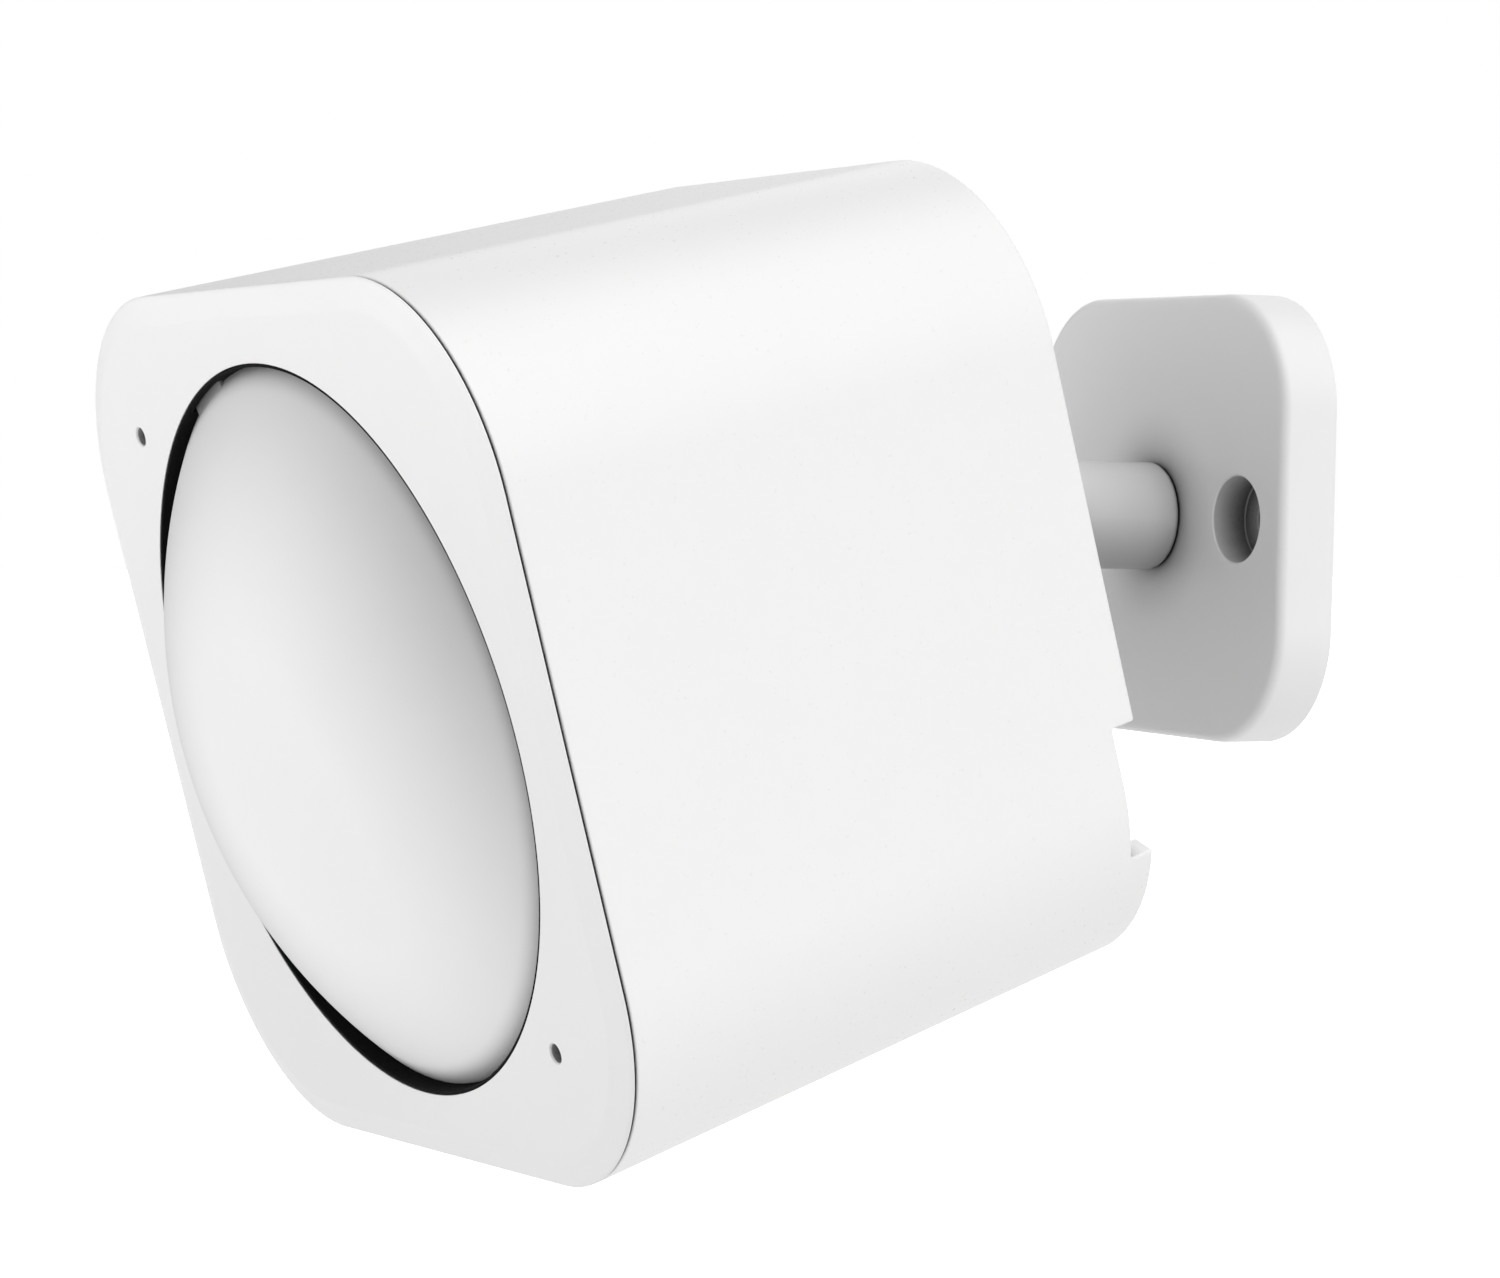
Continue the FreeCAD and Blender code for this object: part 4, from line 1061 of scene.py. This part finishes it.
def pir_sensor():
    height = 4.2
    can = raised([
        (0, 0), (4.45, 0), (4.6, 0.12), (4.6, 0.45), (4.45, 0.6), (4.2, 0.65), (4.1, 0.8),
        (4.1, 3.8), (4.02, 4.08), (3.8, height), (0, height),
    ], SENSOR_FRONT)
    piece("pir_sensor", Shape().lathe(can, 80), sharp=30)
    piece("pir_window", Shape().box((4.0, 3.0, 0.4), (0, 0, SENSOR_FRONT + height)), bevel=0.1)


def corner_parts():
    """Microphone at -x +y; light pipe and LED at +x -y; a round board behind each."""
    light_corner, mic_corner = PIN_CORNERS
    boot = from_face([
        (2.2, 6.6), (2.2, 2.7), (2.1, 2.6), (0.8, 2.6), (0.7, 2.7), (0.7, 4.2), (1.9, 4.2),
        (1.9, 6.6),
    ])
    capsule = from_face([
        (0, 6.6), (1.85, 6.6), (1.85, 4.42), (1.75, 4.3), (0.5, 4.3), (0.5, 4.5), (0, 4.5),
    ])
    pipe = from_face([
        (0, 4.8), (2.0, 4.8), (2.1, 4.7), (2.1, 2.7), (2.0, 2.6), (0.66, 2.6), (0.66, 1.4),
        (0.6, 1.3), (0, 1.3),
    ])
    piece("mic_boot", Shape().lathe(boot, 48, mic_corner), sharp=30)
    piece("mic_capsule", Shape().lathe(capsule, 48, mic_corner), sharp=30)
    piece("light_pipe", Shape().lathe(pipe, 48, light_corner), sharp=30)
    piece("status_led", Shape().box((2.0, 1.25, 1.0), (*light_corner, LED_BACK)), bevel=0.12)
    boards = Shape()
    for spot in PIN_CORNERS:
        boards.cylinder(2.8, FACE - 7.45, LED_BACK, spot, 56)
    piece("corner_boards", boards, bevel=0.08)


# ------------------------------------------------------------------ main board
def main_board():
    """Board, its leg towards the socket, scattered small parts and the screws."""
    centre_y = 8.25
    outline = rounded_rect(27, 19.25, 9.5, 24, COARSE_SIDE)
    board = Shape().prism(outline, BOARD_BACK, BOARD_FRONT, (0, centre_y))
    holes = [Shape().cylinder(3.5, 24, 28, SCREW_CORNERS[0])]
    holes += [Shape().cylinder(CLEARANCE, 24, 28, spot, 32) for spot in BOARD_POSTS]
    piece("main_board", board, cuts=holes, bevel=0.08)
    piece("main_board", Shape().box((7.5, 12.5, 1.6), (24.2, -16.8, BOARD_BACK)), bevel=0.08,
          name="main_board_leg")

    kept_clear = (  # centre x, centre y, half width, half height
        (*CHIP, 6, 6), (9, 10, 9.5, 11), (0, -6.5, 6, 3), (CORNER, CORNER, 6, 6),
        (-24.3, -5, 3.5, 3.5), (-12, 24.3, 3.5, 3.5), (1.5, 24.3, 3.5, 3.5),
    )
    rng = random.Random(7)
    small_parts = Shape()
    spots = []
    for _ in range(400):
        x, y = rng.uniform(-24, 22), rng.uniform(-9, 25)
        if any(abs(x - a) < w and abs(y - b) < h for a, b, w, h in kept_clear):
            continue
        if hypot(max(abs(x) - 16, 0), max(abs(y - centre_y) - 9, 0)) > 8.5:
            continue
        if any(abs(x - a) < 1.9 and abs(y - b) < 1.5 for a, b in spots):
            continue
        spots.append((x, y))
        small_parts.box((1.5, 0.8, 0.5), (x, y, BOARD_FRONT), rng.choice((0, 90)))
        if len(spots) > 46:
            break
    piece("main_board", small_parts, bevel=0.06, segments=1, material="connector_ivory",
          name="main_board_smd")
    screws("board_screws", BOARD_POSTS, seat=BOARD_FRONT, length=5.4, head_radius=1.7, tip=-1)


def mcu_chip():
    """Square chip with twelve leads on each side."""
    x, y = CHIP
    reach, pitch = 4.15, 0.6
    piece("mcu_chip", Shape().box((8, 8, 0.95), (x, y, BOARD_FRONT + 0.05)), bevel=0.12)
    leads = Shape()
    for i in range(12):
        for spin in (0, 90, 180, 270):
            c, s = cos(radians(spin)), sin(radians(spin))
            shift = (i - 5.5) * pitch
            at = (x + reach * c - shift * s, y + reach * s + shift * c, BOARD_FRONT)
            leads.box((0.5, 0.26, 0.16), at, spin)
    piece("mcu_chip", leads, material="can_steel", name="mcu_leads")


def radio_module():
    """Small board with a shield can and a meander antenna."""
    thick, x = 0.8, 9
    top = BOARD_FRONT + thick
    piece("radio_module", Shape().box((15, 18, thick), (x, 10, BOARD_FRONT)), bevel=0.08,
          material="pcb_green", name="radio_base")
    piece("radio_module", Shape().box((13, 12, 2.0), (x, 8, top)), bevel=0.3, segments=3,
          name="radio_shield")
    antenna = Shape()
    width, foil, pitch = 0.6, 0.06, 2.4
    for i in range(5):
        bar_x = 4 + i * pitch
        antenna.box((width, 3.6, foil), (bar_x, 16.6, top))
        link, link_x = (3.0, bar_x + pitch / 2) if i < 4 else (width, bar_x)
        antenna.box((link, width, foil), (link_x, 18.1 if i % 2 else 15.1, top))
    piece("radio_module", antenna, material="spring_nickel", name="radio_antenna")


def flex():
    """Two connectors and the strip between them, with two rounded bends."""
    start_y, end_y = -6.5, 8.0
    connector = (9.0, 2.6, 1.6)
    start_z = BOARD_FRONT + connector[2]
    end_z = FACE - 26.4
    shape = Shape().box(connector, (0, start_y, BOARD_FRONT)).box(connector, (0, end_y, end_z))
    piece("flex_connectors", shape, bevel=0.15)

    bend, middle_z, half_width, half_thick = 1.6, 33.15, 4, 0.13
    turns = [radians(90 * i / 8) for i in range(1, 9)]
    path = [(start_y, start_z), (start_y, start_z + 1.2), (start_y, middle_z - bend)]
    path += [(start_y + bend * (1 - cos(a)), middle_z - bend + bend * sin(a)) for a in turns]
    path += [(-2, middle_z), (2, middle_z), (6.0, middle_z)]
    path += [(end_y - bend + bend * sin(a), middle_z + bend - bend * cos(a)) for a in turns]
    path += [(end_y, end_z - 1.0), (end_y, end_z)]
    rings = []
    for i, (y, z) in enumerate(path):
        before = path[max(0, i - 1)]
        after = path[min(len(path) - 1, i + 1)]
        dy, dz = after[0] - before[0], after[1] - before[1]
        length = hypot(dy, dz)
        off_y, off_z = -dz / length * half_thick, dy / length * half_thick
        rings.append([
            (-half_width, y + off_y, z + off_z), (half_width, y + off_y, z + off_z),
            (half_width, y - off_y, z - off_z), (-half_width, y - off_y, z - off_z),
        ])
    piece("flex_cable", Shape().solid(rings), sharp=40)


def dress_shown_nodes():
    """Any CAD node still shown gets its material too."""
    for node, shown in frame["nodes"].items():
        if not shown.hide_render:
            shown.data.materials.clear()
            shown.data.materials.append(MATERIAL[SLOT[node]])
            smooth_shade(shown.data, 32)


# ------------------------------------------------------------------ floor, world, camera
FLOOR_Z = -0.13                 # m


def add_floor():
    """Pale floor that glows white towards the distance for the camera."""
    size = 4000
    shape = Shape()
    shape.vertices = [(-size, -size, 0), (size, -size, 0), (size, size, 0), (-size, size, 0)]
    shape.faces = [(0, 1, 2, 3)]
    floor = build("floor", shape, Matrix.Translation(Vector((0, 0, FLOOR_Z))))
    material, tree, bsdf = new_material("floor_pale")
    point = object_coords(tree)
    tone = tone_ramp(tree, noise(tree, point, 8, detail=3), (0.80,) * 3, (0.82,) * 3)
    centre = {0: point, 1: (0.0, -0.05, FLOOR_Z)}
    distance = add_node(tree, "VectorMath", centre, operation="DISTANCE").outputs["Value"]
    seen_glow = map_range(tree, distance, (0.10, 0.42), (0.28, 1.0),
                          interpolation_type="SMOOTHSTEP")
    is_camera = add_node(tree, "LightPath").outputs["Is Camera Ray"]
    glow = add_node(tree, "Mix", {"A": 0.16, "Factor": is_camera, "B": seen_glow})
    feed(tree, bsdf, {
        "Base Color": tone,
        "Roughness": 0.9,
        "Specular IOR Level": 0.0,
        "Emission Color": (1, 1, 1, 1),
        "Emission Strength": glow.outputs["Result"],
    })
    floor.data.materials.append(material)


# Light from the surroundings, as soft lobes grouped by their sharpness (cosine power).
# Each lobe is a direction x, y, z and a strength.
LOBES = {
    5: [
        (0.0, -0.526, -0.851, 0.03), (-0.526, -0.851, 0.0, 1.427),
        (-0.851, 0.0, -0.526, 0.109), (0.0, -0.526, 0.851, 0.03),
        (-0.526, 0.851, 0.0, 0.11), (0.851, 0.0, -0.526, 0.03),
        (0.0, 0.526, -0.851, 0.11), (0.526, -0.851, 0.0, 0.03),
        (-0.851, 0.0, 0.526, 0.03), (0.0, 0.526, 0.851, 0.11),
        (0.526, 0.851, 0.0, 0.11), (0.851, 0.0, 0.526, 0.777),
        (-0.577, -0.577, -0.577, 1.372), (-0.577, -0.577, 0.577, 0.03),
        (-0.577, 0.577, -0.577, 0.11), (-0.577, 0.577, 0.577, 0.11),
        (0.577, -0.577, -0.577, 0.03), (0.577, -0.577, 0.577, 0.03),
        (0.577, 0.577, -0.577, 0.11), (0.577, 0.577, 0.577, 1.092),
        (0.0, -0.357, -0.934, 0.03), (-0.357, -0.934, 0.0, 0.982),
        (-0.934, 0.0, -0.357, 0.03), (0.0, -0.357, 0.934, 0.03),
        (-0.357, 0.934, 0.0, 0.11), (0.934, 0.0, -0.357, 0.03),
        (0.0, 0.357, -0.934, 0.11), (0.357, -0.934, 0.0, 0.03),
        (-0.934, 0.0, 0.357, 0.03), (0.0, 0.357, 0.934, 0.205),
        (0.357, 0.934, 0.0, 0.11), (0.934, 0.0, 0.357, 0.03),
    ],
    18: [
        (-0.762, 0.457, 0.457, 0.972), (0.119, 0.269, 0.956, 1.03),
        (0.602, -0.201, 0.773, 2.376),
    ],
}


def set_world(scene):
    """Lobes light the scene; the camera itself sees plain white."""
    world = bpy.data.worlds.new("studio")
    scene.world = world
    world.use_nodes = True
    tree = world.node_tree
    tree.nodes.clear()
    point = add_node(tree, "TexCoord").outputs["Generated"]
    direction = add_node(tree, "VectorMath", {0: point}, operation="NORMALIZE").outputs[0]
    total = 0.0
    for power, lobes in LOBES.items():
        for *axis, strength in lobes:
            facing = math_node(tree, "MAXIMUM", along(tree, direction, axis), 0.0)
            lobe = math_node(tree, "POWER", facing, power)
            inputs = {0: lobe, 1: strength, 2: 0.0}
            added = add_node(tree, "Math", inputs, operation="MULTIPLY_ADD")
            feed(tree, added, {2: total})
            total = added.outputs[0]
    light = add_node(tree, "Background", {"Color": total, "Strength": 1.0})
    white = add_node(tree, "Background", {"Color": (1, 1, 1, 1), "Strength": 1.0})
    is_camera = add_node(tree, "LightPath").outputs["Is Camera Ray"]
    inputs = {0: is_camera, 1: light.outputs[0], 2: white.outputs[0]}
    mix = add_node(tree, "MixShader", inputs)
    add_node(tree, "OutputWorld", {0: mix.outputs[0]})


def add_camera(scene):
    azimuth, elevation, roll = radians(63.88), radians(2.44), radians(1.16)
    data = bpy.data.cameras.new("camera")
    camera = bpy.data.objects.new("camera", data)
    scene.collection.objects.link(camera)
    scene.camera = camera
    back = Vector((sin(azimuth) * cos(elevation), -cos(azimuth) * cos(elevation),
                   sin(elevation)))
    right = Vector((cos(azimuth), sin(azimuth), 0))
    up = back.cross(right)
    rolled_right = right * cos(roll) + up * sin(roll)
    rolled_up = -right * sin(roll) + up * cos(roll)
    place = Matrix((rolled_right, rolled_up, back)).transposed().to_4x4()
    place.translation = Vector((0.328084, -0.204083, 0.005059))
    camera.matrix_world = place
    data.sensor_width = 36.0
    data.lens = 107.4672
    data.clip_start = 0.01
    data.clip_end = 50


# ------------------------------------------------------------------ build everything
for make_part in (
    outer_sleeve, front_bezel, dome_lens, lens_gasket,
    wall_plate, ball_stud,
    friction_liner, swivel_stalk, clamp_nut, swivel_retainer,
    rear_cover, battery_door, pair_button, switches, usb_socket,
    battery_tray, battery_cell, battery_contacts, battery_spring,
    light_shroud, sensor_board, pir_sensor, corner_parts,
    main_board, mcu_chip, radio_module, flex,
    dress_shown_nodes, add_floor,
):
    make_part()

scene = bpy.context.scene
scene.view_settings.view_transform = "Standard"
scene.view_settings.look = "None"
set_world(scene)
add_camera(scene)
